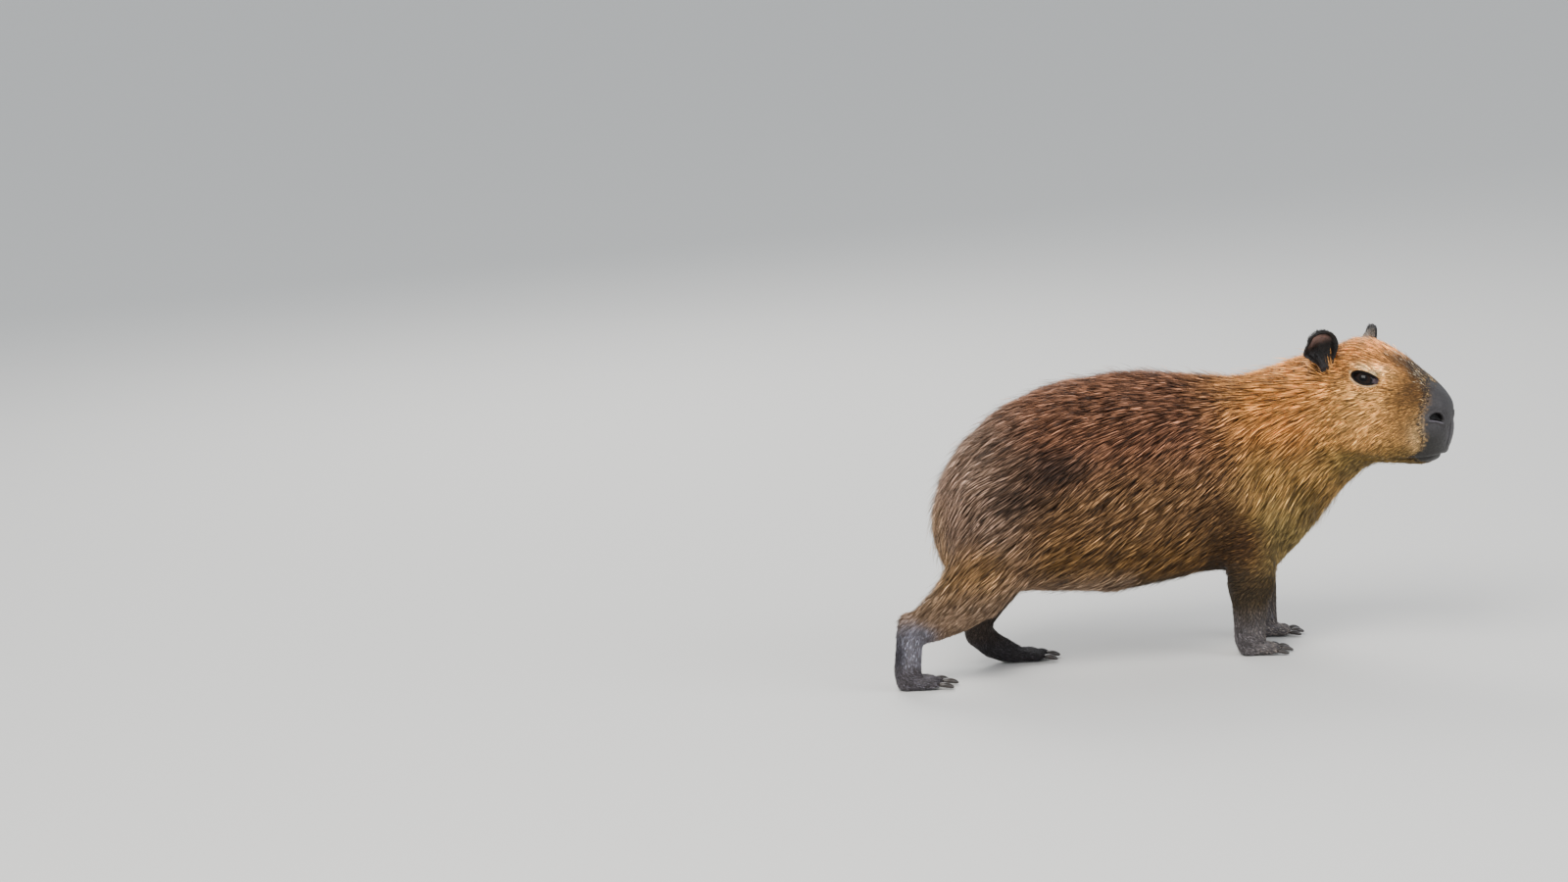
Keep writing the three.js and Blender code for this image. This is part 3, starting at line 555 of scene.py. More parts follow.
def head_relief(s):
    """How far each straight-frame point of the skin moves out for the head's forms."""
    height = np.zeros(len(s))
    for side in (RIGHT, LEFT):
        for place, reach, amount in HEAD_FORMS:
            height += amount * MM * blob(s * [1, side, 1], place, reach)
        r, _ = nostril_share(s, side)
        height += NOSTRIL_FLARE * bell(r, 1.2, 0.26) - NOSTRIL_DEEP * smoothstep(-r, -1.0, -0.5)
    away = line_distance(s[:, [0, 2]], MOUTH_LINE)
    reach = above(s[:, 0], 508, 526)
    height += reach * LIP_ROLL * bell(away, LIP_AWAY, LIP_HALF)
    height -= reach * MOUTH_DEEP * bell(away, 0, MOUTH_HALF)
    cleft = bell(s[:, 1], 0, CLEFT_HALF) * above(s[:, 0], 560, 572)
    cleft *= above(s[:, 2], 312, 322) * below(s[:, 2], 345, 358)
    return height - CLEFT_DEEP * cleft


# Eyes and lids. The opening is measured across the face of the eye: forward and up from the eyeball's pole.
LID_SLOPE = -0.17
OPENING_HALF = 19.0 * MM
OPENING_AHEAD = 1.5 * MM
CORNER_UP = 2.4 * MM
OPENING_UP = 4.6 * MM
OPENING_DOWN = 10.4 * MM
OPENING_SKEW = 0.3
OPENING_CURVES = (1.2, 1.6)
EDGE_POINTS = 96
LID_STEPS = 16
LID_WIDE = 10 * MM
# How far a lid swells and how deep its crease is: at the lower lid, and how much more at the upper one.
LID_SWELL, LID_SWELL_MORE = 1.0 * MM, 1.3 * MM
LID_CREASE, LID_CREASE_MORE = 0.4 * MM, 1.2 * MM
CREASE_PLACE, CREASE_WIDTH = 0.55, 0.08
# Rings on the ball's side of a lid, at shares of the opening, and on its hidden side, at distances out from
# the opening in millimetres: each with its drop below the rim.
RIM_STEPS = ((0.975, 0.1), (0.94, 0.7), (0.9, 1.6))
BACK_STEPS = ((1, 7), (5, 9))
LID_THICK = 1.0 * MM
CORNER_SINK = 3.2 * MM
SOCKET_DEEP = 9 * MM
EYE_REGION = 45 * MM
BALL_STRETCH = 1.3
BALL_ROWS, BALL_AROUND = 40, 64
BALL_INSET, CORNEA = 0.1 * MM, 0.5 * MM


def eye_axes(side):
    """The forward, upward and outward directions of an eye, and its centre, in the row frame."""
    out = eye_out(side)
    forward = square_to(head_direction(1, 0, 0), out)
    up = np.cross(out, forward) * -side
    c, s = math.cos(LID_SLOPE), math.sin(LID_SLOPE)
    return c * forward + s * up, c * up - s * forward, out, turned_eye(side) - ORIGIN


def opening():
    """The edge of an eye's opening, highest at the rear, from where it runs straight down to the front."""
    angles = np.linspace(0, 2 * math.pi, EDGE_POINTS, endpoint=False)
    x, y = np.cos(angles), np.sin(angles)
    high = np.where(y > 0, OPENING_UP * (1 - OPENING_SKEW * x), OPENING_DOWN)
    rise = high * np.sign(y) * np.abs(y) ** mix(*OPENING_CURVES, (1 + x) / 2)
    return columns(x * OPENING_HALF + OPENING_AHEAD, CORNER_UP + rise)


def opening_distance(flat):
    """How far flat points lie outside the opening's edge; below 0 inside it."""
    edge = opening()
    following = np.roll(edge, -1, axis=0)
    step = following - edge
    offset = flat[:, None] - edge
    turn = step[:, 0] * offset[:, :, 1] - step[:, 1] * offset[:, :, 0]
    inside = (turn > 0).all(axis=1)
    away = line_distance(flat, np.concatenate([edge, edge[:1]]))
    return np.where(inside, -away, away)


def on_eye_face(points, side):
    """Where points are on the face of an eye, forward and up from its centre."""
    forward, up, _, centre = eye_axes(side)
    return columns((points - centre) @ forward, (points - centre) @ up)


def near_eye(points, side):
    return np.linalg.norm(points - eye_axes(side)[-1], axis=1) < EYE_REGION


def eye_gap(points):
    """How far points lie outside the nearer eye's opening, and which way leads away from that eye."""
    gap = np.full(len(points), EYE_REGION)
    away = np.zeros((len(points), 3))
    for side in (RIGHT, LEFT):
        near = near_eye(points, side)
        flat = on_eye_face(points[near], side)
        gap[near] = opening_distance(flat)
        away[near] = unit(flat) @ np.stack(eye_axes(side)[:2])
    return gap, away


def sink_socket(points, side):
    """The skin behind a lid, moved in so that the eyeball and lids have room."""
    near = near_eye(points, side)
    away = opening_distance(on_eye_face(points[near], side))
    sink = SOCKET_DEEP * (1 - smoothstep(away, 0.3 * LID_WIDE, 0.85 * LID_WIDE))
    moved = points.copy()
    moved[near] -= sink[:, None] * eye_out(side)
    return moved


def ball_height(flat, extra):
    """How far an eyeball that is larger by extra stands out from its centre at flat places."""
    high = EYE_RADIUS + extra
    wide = EYE_RADIUS * BALL_STRETCH + extra
    room = 1 - (flat[:, 0] / wide) ** 2 - (flat[:, 1] / high) ** 2
    return high * np.sqrt(np.maximum(room, 0.04))


def lid_ring(side):
    """One eye's lids as a closed ring: from the skin, over the fold, round the rim and back to the ball."""
    forward, up, out, centre = eye_axes(side)
    edge = opening()
    along = unit(np.roll(edge, -1, axis=0) - np.roll(edge, 1, axis=0))
    outward = columns(along[:, 1], -along[:, 0])
    upper = smoothstep(outward[:, 1], 0.0, 0.6)

    def put(flat, height):
        return centre + flat[:, :1] * forward + flat[:, 1:] * up + height[:, None] * out

    def skin_height(flat):
        low = np.full(EDGE_POINTS, -25 * MM)
        high = np.full(EDGE_POINTS, 35 * MM)
        for _ in range(18):
            middle = (low + high) / 2
            outside = skin_field(put(flat, middle)) > 0
            high = np.where(outside, middle, high)
            low = np.where(outside, low, middle)
        return (low + high) / 2

    rim = np.maximum(ball_height(edge, 0.5 * MM) + LID_THICK, skin_height(edge) - CORNER_SINK)
    rings = []
    for t in np.linspace(0, 1, LID_STEPS + 1):
        flat = edge + LID_WIDE * (1 - t) * outward
        swell = (LID_SWELL + LID_SWELL_MORE * upper) * math.sin(math.pi * t) ** 1.5
        crease = (LID_CREASE + LID_CREASE_MORE * upper) * bell(t, CREASE_PLACE, CREASE_WIDTH)
        base = mix(skin_height(flat) - 0.5 * MM, rim, smoothstep(t, 0, 1))
        rings.append(put(flat, base + swell - crease))
    for scale, drop in RIM_STEPS:
        flat = edge * scale
        rings.append(put(flat, np.maximum(rim - drop * MM, ball_height(flat, 0) - 0.5 * MM)))
    for reach, drop in BACK_STEPS:
        rings.append(put(edge + reach * MM * outward, rim - drop * MM))
    under = edge + 0.9 * LID_WIDE * outward
    rings.append(put(under, skin_height(under) - 7 * MM))
    return closed_tube(f"lids_{SIDE_NAMES[side]}", rings)


def eyeball(side):
    """An eyeball, wider than high, with a cornea that bulges a little; its pole faces out."""
    forward, up, out, centre = eye_axes(side)
    turn = np.linspace(0, 2 * math.pi, BALL_AROUND, endpoint=False)
    around = BALL_STRETCH * np.cos(turn)[:, None] * forward + np.sin(turn)[:, None] * up
    rings = []
    for a in np.linspace(0, math.pi, BALL_ROWS + 1)[1:-1]:
        radius = EYE_RADIUS - BALL_INSET + CORNEA * bell(a, 0, 0.5)
        rings.append(centre + radius * (math.cos(a) * out + math.sin(a) * around))
    return lathe(f"eyeball_{SIDE_NAMES[side]}", rings)


# Ears: a cupped, rounded leaf with a thick rolled rim, on a short root. The far ear stands further on.
EAR_SIDE, EAR_UP = 51 * MM, 436 * MM
EAR_TURNS = {RIGHT: (403 * MM, 0.72), LEFT: (419 * MM, 0.78)}
EAR = {"height": 52 * MM, "root": 0.18, "half": 25.5 * MM, "cup": 13 * MM, "lean": 0.42}
EAR_WIDEST, EAR_TOP = 0.55, 0.47
EAR_AROUND, EAR_ROWS = 72, 44
EAR_WALL, EAR_ROLL = 1.3 * MM, 2.9 * MM
# The foot's share of the width, the ridges in the cup, the lip, and a notch and a bulge on the rear edge: how
# deep, how far up and how wide.
EAR_FOOT_WIDE = 0.42
EAR_RIDGE, EAR_LIP = 0.9 * MM, 1.8 * MM
EAR_NOTCHES = ((3 * MM, 0.78, 0.08), (-4 * MM, 0.5, 0.12))
CUP_UP, CUP_HALF, CUP_DEEP, CUP_BACK = 17 * MM, 12 * MM, 8 * MM, 1.5 * MM


def ear_axes(side):
    """An ear's base, its upward, rearward and facing directions."""
    along, turn = EAR_TURNS[side]
    facing = head_direction(math.sin(turn), side * math.cos(turn), 0.12)
    lean = head_direction(-0.1, side * EAR["lean"], 1)
    rearward = unit(np.cross(lean, facing) * side)
    face = unit(np.cross(rearward, lean) * side)
    if face @ facing < 0:
        face = -face
    return bent(np.array([along, side * EAR_SIDE, EAR_UP]))[0], lean, rearward, face


def ear_piece(side):
    """One ear as a closed shell, and each point's share of the rim and of the cup and its height."""
    base, lean, rearward, face = ear_axes(side)
    angles = np.linspace(0, 2 * math.pi, EAR_AROUND, endpoint=False)
    u = np.cos(angles)
    front = np.sign(np.sin(angles)) * np.abs(np.sin(angles)) ** 0.55
    rings, rims = [], []
    top = EAR_WIDEST + EAR_TOP
    for i in range(EAR_ROWS + 1):
        v = -EAR["root"] + (top - 0.002 + EAR["root"]) * math.sin(math.pi / 2 * i / EAR_ROWS)
        climb = max(0.0, (v - EAR_WIDEST) / EAR_TOP)
        round_share = math.sqrt(1 - climb ** 2)
        body = mix(EAR_FOOT_WIDE, 1, smoothstep(v, -0.1, 0.5)) if v < EAR_WIDEST else round_share
        notch = sum(deep * bell(v, place, width) for deep, place, width in EAR_NOTCHES)
        half = np.maximum(0.4 * MM, EAR["half"] * body - notch * (u > 0))
        outward = np.hypot(u * round_share, climb)
        rim = smoothstep(outward, 0.66, 0.86) * smoothstep(v, 0, 0.2)
        hollow = EAR["cup"] * (1 - u * u) * (0.25 + 0.75 * math.sin(math.pi * min(max(v + 0.1, 0), 1)))
        thick = mix(EAR_WALL, EAR_ROLL, rim) * (1 - climb ** 8) ** 0.5
        ridges = EAR_RIDGE * np.sin(8 * u + 3 * v + 2) * bell(v, 0.35, 0.25) * (front > 0) * (1 - rim)
        roll = EAR_LIP * rim * (front > 0)
        depth = 0.6 * EAR["cup"] - hollow + thick * front + ridges + roll
        rings.append(base + EAR["height"] * v * lean + (u * half)[:, None] * rearward + depth[:, None] * face)
        rims.append(columns(rim, front > 0, np.full(EAR_AROUND, v)))
    ends = np.array([[0, 0, 0], [1, 0, 1]])
    return lathe(f"ear_skin_{SIDE_NAMES[side]}", rings), np.concatenate([*rims, ends])


# Colours, by place on the animal, in the light's own values.
def tone(red, green, blue):
    """A colour from its 0 to 255 screen values."""
    c = np.array([red, green, blue]) / 255
    return np.where(c <= 0.04045, c / 12.92, ((c + 0.055) / 1.055) ** 2.4)


BACK = tone(104, 69, 48)
FLANK = tone(104, 76, 48)
FLANK_LOW = tone(95, 68, 35)
# The belly's brown, darkened as painted shade under the body.
SHADED_BELLY = tone(56, 40, 20)
RUMP = tone(122, 98, 80)
RUMP_REAR = tone(138, 110, 74)
DARK_PATCH = tone(56, 41, 33)
THIGH = tone(120, 91, 58)
SHANK = tone(146, 120, 96)
HOCK = tone(132, 130, 140)
HOCK_REAR = tone(60, 58, 68)
FOOT = tone(98, 93, 98)
FOREFOOT = tone(116, 111, 114)
# Painted shade for the far hind leg, which lies in the shade under the body.
FAR_LEG_SHADE = tone(38, 35, 36)
LEG = tone(72, 60, 42)
# Painted shade behind the elbows and in the armpits.
ARMPIT_SHADE = tone(82, 56, 32)
NECK = tone(200, 143, 80)
NECK_LOW = tone(158, 126, 78)
CHEST = tone(146, 128, 82)
# The throat's tan darkened as painted shade under the jaw, and a darker painted shade just below the jaw.
SHADED_THROAT = tone(98, 82, 48)
THROAT_SHADE = tone(66, 56, 34)
CROWN = tone(196, 138, 78)
BROW_SHADE = tone(140, 98, 56)
CHEEK = tone(198, 153, 93)
CHEEK_FRONT = tone(160, 121, 72)
# The jaw's tan, darkened as painted shade under the head.
SHADED_JAW = tone(112, 94, 55)
BROW = tone(244, 216, 166)
EYE_RING = tone(210, 168, 108)
MUZZLE_SIDE = tone(198, 168, 122)
NOSE = tone(48, 45, 46)
# Painted shade on the lower nose and lips, with the light falling from above.
NOSE_LOW_SHADE = tone(38, 36, 34)
LIP_FRONT = tone(82, 78, 84)
BRIDGE = tone(66, 54, 44)
BRIDGE_SIDE = tone(112, 82, 50)
LID_RIM = tone(15, 11, 10)
EYE_CORNER = tone(100, 88, 94)
LOWER_LID = tone(176, 150, 120)
EAR_RIM = tone(20, 16, 15)
# The ear cup's pinkish-grey skin, lightened as a painted sheen at its top.
EAR_CUP_SHEEN = tone(124, 98, 90)
# Near-black for the deep of the ear's cup: dark skin and hair with painted shade.
EAR_CUP_SHADE = tone(18, 12, 10)
EAR_BACK = tone(136, 124, 112)
NOSTRIL_RIM = tone(104, 98, 106)
# The nostril's opening painted near-black as painted shade for the depth of the hole.
NOSTRIL_SHADE = tone(8, 7, 7)
PUPIL, IRIS, EYE_DARK = tone(6, 5, 5), tone(28, 18, 13), tone(12, 9, 9)
HORN_DARK, HORN_PALE = tone(26, 23, 22), tone(62, 54, 50)
WHISKER = tone(40, 30, 26)
FLECK = tone(225, 218, 200)

# The rear edge of the bare nose and lips: height, and how far along the head.
NOSE_EDGE = np.array([
    [285, 575], [296, 545], [301, 534], [315, 552], [328, 559],
    [348, 555], [363, 552], [393, 558], [416, 547], [440, 522],
]) * MM


def nose_share(s):
    """1 on the bare dark nose and lips, with a ragged edge."""
    edge = np.interp(s[:, 2], NOSE_EDGE[:, 0], NOSE_EDGE[:, 1])
    ragged = 4 * MM * noise(s, 4) + 3 * MM * noise(s, 1.8, 4.4)
    soft = mix(5, 10, above(s[:, 2], 350, 390)) * MM
    return smoothstep((s[:, 0] - edge + ragged) / soft, -1.0, 1.0)


def marking(points):
    """The animal's colours at row-frame points."""
    exact = straightened(points)
    s = exact + 7 * MM * noise(exact, 30)[:, None]
    both = mirrored(s)
    along, up = s[:, 0], s[:, 2]
    face = face_share(s)
    body = 1 - face
    rear, hind = -along, along < 80 * MM
    leg = body * below(up, 95, 160)
    metatarsus = above(rear, 225, 262) * below(up, 85, 118)
    colour = painted(
        FLANK,
        (BACK, above(up, 270, 360)),
        (FLANK_LOW, below(up, 170, 260)),
        # Painted shade: the belly is darkened for the shade under the body.
        (SHADED_BELLY, below(up, 120, 165)),
        (RUMP, above(rear, 40, 150)),
        (DARK_PATCH, 0.95 * blob(both, (-45, 100, 325), (60, 70, 34))),
        (DARK_PATCH, 0.8 * blob(both, (-95, 100, 285), (50, 70, 30))),
        (THIGH, above(rear, 70, 150) * below(up, 190, 250)),
        (RUMP_REAR, above(rear, 190, 235) * above(up, 120, 180)),
        (NECK, above(along, 150, 350) * above(up, 250, 370)),
        (NECK_LOW, above(along, 190, 320) * below(up, 280, 350)),
        (CHEST, above(along, 250, 330) * below(up, 200, 280)),
        # Painted shade behind the elbows and in the armpits, on both sides.
        (ARMPIT_SHADE, 0.95 * blob(both, (250, 95, 178), (60, 60, 50))),
        # Painted shade: the throat is darkened under the jaw, and darker still just below it.
        (SHADED_THROAT, above(along, 345, 385) * below(up, 250, 300)),
        (THROAT_SHADE, 0.8 * blob(both, (438, 15, 286), (26, 40, 20))),
        (CHEEK, face),
        (CROWN, face * above(up, 385, 432)),
        # Painted shade: the lower face is darkened for the shade under the head.
        (SHADED_JAW, face * below(up, 305, 335)),
        (CHEEK_FRONT, above(along, 485, 520) * above(up, 320, 345) * below(up, 395, 415)),
        (BRIDGE_SIDE, 0.9 * above(along, 505, 535) * above(up, 362, 392)),
        (MUZZLE_SIDE, 0.95 * blob(both, (548, 46, 332), (14, 30, 26))),
        (BROW_SHADE, 0.8 * blob(both, (486, 44, 440), (22, 18, 5))),
        (BROW, 0.95 * blob(both, (468, 50, 431), (16, 16, 4.5))),
        (BROW, 0.95 * blob(both, (490, 46, 425), (15, 16, 7.5))),
        (EYE_RING, 0.8 * blob(both, (502, 44, 414), (13, 16, 9))),
        (EYE_RING, 0.6 * blob(both, (468, 51, 394), (22, 16, 5))),
        (BRIDGE, above(along, 478, 512) * above(up + 0.8 * (along - 520 * MM), 412, 430)),
        (LEG, leg * ~hind),
        (SHANK, 0.9 * hind * body * below(up, 110, 190)),
        (HOCK, body * metatarsus),
        (HOCK_REAR, 0.9 * body * metatarsus * above(rear, 284, 297)),
        (FOREFOOT, body * ~hind * below(up, 28, 92)),
        (FOOT, body * hind * below(up, 28, 55)),
        # Painted shade: the far (left) hind leg is darkened for the shade under the body.
        (FAR_LEG_SHADE, 0.85 * leg * hind * above(points[:, 1], 20, 40)),
        (NOSE, nose_share(exact)),
        # Painted shade: the bare nose is darker below the nostrils.
        (NOSE_LOW_SHADE, nose_share(exact) * below(exact[:, 2], 325, 352)),
        (LIP_FRONT, 0.6 * blob(exact, (584, 0, 328), (9, 15, 14))),
        # Painted shade: the skin in the ears' cups is near-black.
        (EAR_CUP_SHADE, smoothstep(cup_share(points), 0.04, 0.3)),
    )
    mottle = 1 + 0.16 * noise(points, 24, 1.7) + 0.1 * noise(points, 9, 5.2)
    return colour * mottle[:, None]


# Materials.
class Finish:
    """A material under construction: its shader, and ways to add nodes and links."""

    def __init__(self, name, roughness, specular):
        self.material = bpy.data.materials.new(name)
        self.material.use_nodes = True
        self.tree = self.material.node_tree
        self.inputs = self.tree.nodes["Principled BSDF"].inputs
        self.inputs["Roughness"].default_value = roughness
        self.inputs["Specular IOR Level"].default_value = specular
        self.where = self.add("ShaderNodeTexCoord").outputs["Object"]

    def add(self, kind, **values):
        node = self.tree.nodes.new(kind)
        for key, value in values.items():
            if key in node.inputs:
                node.inputs[key].default_value = value
            else:
                setattr(node, key, value)
        return node

    def texture(self, kind, **values):
        """A texture's strength over the object."""
        node = self.add(kind, **values)
        self.tree.links.new(self.where, node.inputs["Vector"])
        return node.outputs[0]

    def tinted(self, scale, low, high):
        """The markings, darkened and lightened by noise."""
        colour = self.add("ShaderNodeAttribute", attribute_name="markings")
        spread = self.add("ShaderNodeMapRange")
        for socket, value in (("From Min", 0.3), ("From Max", 0.7), ("To Min", low), ("To Max", high)):
            spread.inputs[socket].default_value = value
        spots = self.texture("ShaderNodeTexNoise", Scale=scale, Detail=4.0)
        self.tree.links.new(spots, spread.inputs["Value"])
        bright = self.add("ShaderNodeVectorMath", operation="SCALE")
        self.tree.links.new(colour.outputs["Color"], bright.inputs[0])
        self.tree.links.new(spread.outputs["Result"], bright.inputs["Scale"])
        self.tree.links.new(bright.outputs["Vector"], self.inputs["Base Color"])

    def bumpy(self, *layers):
        """Fine bumps: each layer is a kind of texture, its scale and its height."""
        target = self.inputs["Normal"]
        for kind, scale, distance in reversed(layers):
            bump = self.add("ShaderNodeBump", Distance=distance)
            self.tree.links.new(self.texture(kind, Scale=scale), bump.inputs["Height"])
            self.tree.links.new(bump.outputs["Normal"], target)
            target = bump.inputs["Normal"]


# Each tinted finish: roughness, specular level, the tint's scale, low and high, and layers of bumps.
PORES = ("ShaderNodeTexVoronoi", 620.0, 0.35 * MM), ("ShaderNodeTexNoise", 240.0, 1.0 * MM)
FINISHES = {
    "skin": (0.5, 0.28, (420.0, 0.72, 1.22), PORES),
    "lid": (0.5, 0.12, (420.0, 0.72, 1.22), PORES),
    "coat": (0.46, 0.32, (70.0, 0.84, 1.16), ()),
    "ear": (0.45, 0.3, (160.0, 0.78, 1.25), (
        ("ShaderNodeTexNoise", 150.0, 1.2 * MM), ("ShaderNodeTexVoronoi", 800.0, 0.2 * MM))),
    "eye": (0.12, 0.1, (300.0, 0.8, 1.2), ()),
}


def finish_of(name):
    """One of the tinted finishes; the eye's is wet."""
    roughness, specular, tint, bumps = FINISHES[name]
    finish = Finish(name, roughness, specular)
    finish.tinted(*tint)
    if bumps:
        finish.bumpy(*bumps)
    if name == "eye":
        finish.inputs["Coat Weight"].default_value = 0.12
        finish.inputs["Coat Roughness"].default_value = 0.04
    return finish.material


def claw_finish():
    """Dark horn with paler streaks."""
    finish = Finish("claw", 0.4, 0.5)
    tones = finish.add("ShaderNodeValToRGB")
    for element, place, colour in zip(tones.color_ramp.elements, (0.3, 0.7), (HORN_DARK, HORN_PALE)):
        element.position = place
        element.color = (*colour, 1)
    finish.tree.links.new(finish.texture("ShaderNodeTexNoise", Scale=180.0, Detail=5.0), tones.inputs["Fac"])
    finish.tree.links.new(tones.outputs["Color"], finish.inputs["Base Color"])
    finish.bumpy(("ShaderNodeTexNoise", 500.0, 0.25 * MM))
    return finish.material


# The coat: tufts of hair over the skin. Each is a closed, flat, tapered blade.
COAT_SEED = 11
COAT_SHARE = 1.0
BODY_TUFTS = int(117500 * COAT_SHARE)
FACE_TUFTS = int(112000 * COAT_SHARE)
LID_TUFTS = int(3200 * COAT_SHARE)
EAR_TUFTS = int(5000 * COAT_SHARE)
WHISKERS = 26
BODY, NECK_PART, HEAD, LEGS = range(4)
PART_NAMES = ("body", "neck", "head", "legs")
HEAD_START, NECK_PART_START, LEG_TOP = 425 * MM, 245 * MM, 118 * MM
# How far roots sink into the skin, how far tufts stay off the floor, and a tuft's patch on the map.
ROOT_SINK = 0.9 * MM
FLOOR_GAP = 0.3 * MM
UV_PATCH = 0.003
# A tuft has a root point, a middle triangle and a tip.
TUFT_FACES = np.array([(0, 1, 2), (0, 2, 3), (0, 3, 1), (2, 1, 4), (3, 2, 4), (1, 3, 4)])
TUFT_ALONG = np.array([0, 0.5, 0.5, 0.5, 1])
TUFT_ACROSS = np.array([0, -1, 1, 0, 0])
TUFT_THICK = np.array([0, 0, 0, 1, 0])
TUFTS_A_PIECE = 32000
# No tufts are rooted this near to a sole, or this far inside an ear's cup.
SOLE_BARE = 4 * MM
CUP_BARE = 0.35
# How near to an ear's foot tufts turn up along it, in millimetres, and how much steeper they stand.
EAR_FOOT, EAR_FOOT_TILT = (13, 30), 0.55
CHART_MARGIN, CHART_ROOM = 6 * MM, 1.25


def part_of(s):
    """Which part of the body a place is on."""
    low = np.where(s[:, 2] < LEG_TOP, LEGS, np.where(s[:, 0] > NECK_PART_START, NECK_PART, BODY))
    return np.where(s[:, 0] > HEAD_START, HEAD, low)


def lie_of(points, normals):
    """Which way the coat lies: back along the body, down the sides, legs and rump."""
    s = straightened(points)
    along, up = s[:, 0], s[:, 2]
    rump = above(-along, 130, 235)
    neck = above(along, 200, 330)
    face = face_share(s)
    side = below(up, 330, 425)
    down = mix(0.14, mix(mix(0.58, 0.95, neck), 0.72, face), side)
    down = mix(down, 2.0, rump)
    flow = columns(-np.ones(len(s)), np.zeros(len(s)), -down)
    low = (1 - face) * below(up, 110, 190)
    front_leg = np.maximum(low * above(along, 60, 140), arm_share(s))
    flow = painted(
        flow, ([-1, 0, -0.5], front_leg), ([-1, 0, -0.75], low - front_leg),
        ([-0.15, 0, -1], (1 - face) * below(up, 75, 110)), ([1, 0, -0.35], below(up, 22, 45)))
    flow = unit(bend_direction(flow, along))
    gap, away = eye_gap(points)
    towards = np.minimum((flow * away).sum(1), 0)
    flow += (below(gap, 5, 16) * (0.3 - towards))[:, None] * away
    flow = square_to(flow, normals)
    swirl = 0.18 * noise(points, 32, 3.3) + 0.09 * noise(points, 11, 7.1)
    return unit(flow + swirl[:, None] * np.cross(normals, flow))


def arm_share(s):
    """1 on the upper arms and the chest between them, whose coat is short."""
    along, up = s[:, 0], s[:, 2]
    return above(along, 165, 205) * below(up + 0.35 * (along - 240 * MM), 215, 275)


def tuft_sizes(s, gap):
    """The coat's length, half width and tilt at straight-frame points."""
    along, up = s[:, 0], s[:, 2]
    face, muzzle, arm = face_share(s), above(along, 480, 545), arm_share(s)
    belly = above(along, -70, -20) * below(along, 150, 190)
    low = below(up, 70, 190) * (1 - face) * (1 - belly)
    near_eye, bare = below(gap, 2, 22), smoothstep(nose_share(s), 0.2, 0.9)
    length = layered(
        39, (24, belly * (up < 150 * MM)), (20, face), (8, muzzle), (16, arm), (7, low), (5, near_eye),
        (2.5, bare))
    half = layered(
        0.46, (0.36, face), (0.28, muzzle), (0.42, np.maximum(low, arm)), (0.3, near_eye), (0.2, bare))
    return length * MM, half * MM, layered(0.2, (0.12, face), (0.12, low))


def density_of(s):
    """How thickly tufts grow on each part, before the count is set."""
    face = face_share(s)
    low = below(s[:, 2], 40, 190) * (1 - face)
    long_coat = 1 + 0.7 * above(s[:, 0], 210, 330) + 0.8 * face
    furred = 1 - 0.96 * smoothstep(nose_share(s), 0.45, 0.95)
    short_coat = mix(1, 1.5, above(s[:, 0], 480, 545)) * furred * mix(1, 0.55, low)
    return np.where(part_of(s) >= HEAD, short_coat, long_coat)


def chart_unwrap(points, normals, parts):
    """Flat places on an unwrap: each part's six sides are laid out as tiles side by side."""
    axis = np.abs(normals).argmax(1)
    way = (np.take_along_axis(normals, axis[:, None], 1)[:, 0] > 0).astype(int)
    keys = parts * 6 + axis * 2 + way
    views = [points[:, [1, 2]], points[:, [0, 2]], points[:, :2]]
    flat = np.choose(axis[:, None], views)
    tiles = []
    for key in np.unique(keys):
        inside = keys == key
        low = flat[inside].min(0) - CHART_MARGIN
        tiles.append((key, low, flat[inside].max(0) + CHART_MARGIN - low))
    tiles.sort(key=lambda tile: -tile[2][1])
    sheet = math.sqrt(sum(size[0] * size[1] for _, _, size in tiles)) * CHART_ROOM
    x = y = row = used = 0.0
    uv = np.empty((len(points), 2))
    for key, low, size in tiles:
        if x + size[0] > sheet:
            x, y, row = 0.0, y + row, 0.0
        uv[keys == key] = flat[keys == key] - low + [x, y]
        x += size[0]
        row = max(row, size[1])
        used = max(used, x, y + row)
    return uv / used


@dataclass
class Tufts:
    """Tufts to be: where each is rooted, which way it lies, its sizes and its colours."""

    roots: np.ndarray
    normals: np.ndarray
    lie: np.ndarray
    length: np.ndarray
    half: np.ndarray
    tilt: np.ndarray
    root_colour: np.ndarray
    tip_colour: np.ndarray

    def pick(self, chosen):
        """Only some of the tufts."""
        return Tufts(**{key: value[chosen] for key, value in vars(self).items()})

    def spine(self, share, lift):
        """The middle line's points at a share of the length."""
        run = self.length * np.cos(self.tilt) * share
        rise = self.length * np.sin(self.tilt) * lift
        return self.roots + run[:, None] * self.lie + rise[:, None] * self.normals, rise

    def corners(self, follows):
        """Every tuft's points. On the body they follow the skin's curve."""
        across = self.half[:, None] * unit(np.cross(self.lie, self.normals))
        up = 0.55 * self.half[:, None] * self.normals
        line = {0: self.roots - ROOT_SINK * self.normals}
        for share, lift in ((0.5, 0.62), (1, 0.85)):
            place, rise = self.spine(share, lift)
            if follows:
                error = skin_field(place) - rise
                body = body_share(straightened(place))
                place -= (body * error)[:, None] * unit(gradient(skin_field, place))
            line[share] = place
        corners = np.stack([
            line[share] + side * across + thick * up
            for share, side, thick in zip(TUFT_ALONG, TUFT_ACROSS, TUFT_THICK)], axis=1)
        corners[:, :, 2] = np.maximum(corners[:, :, 2], FLOOR_GAP)
        return corners


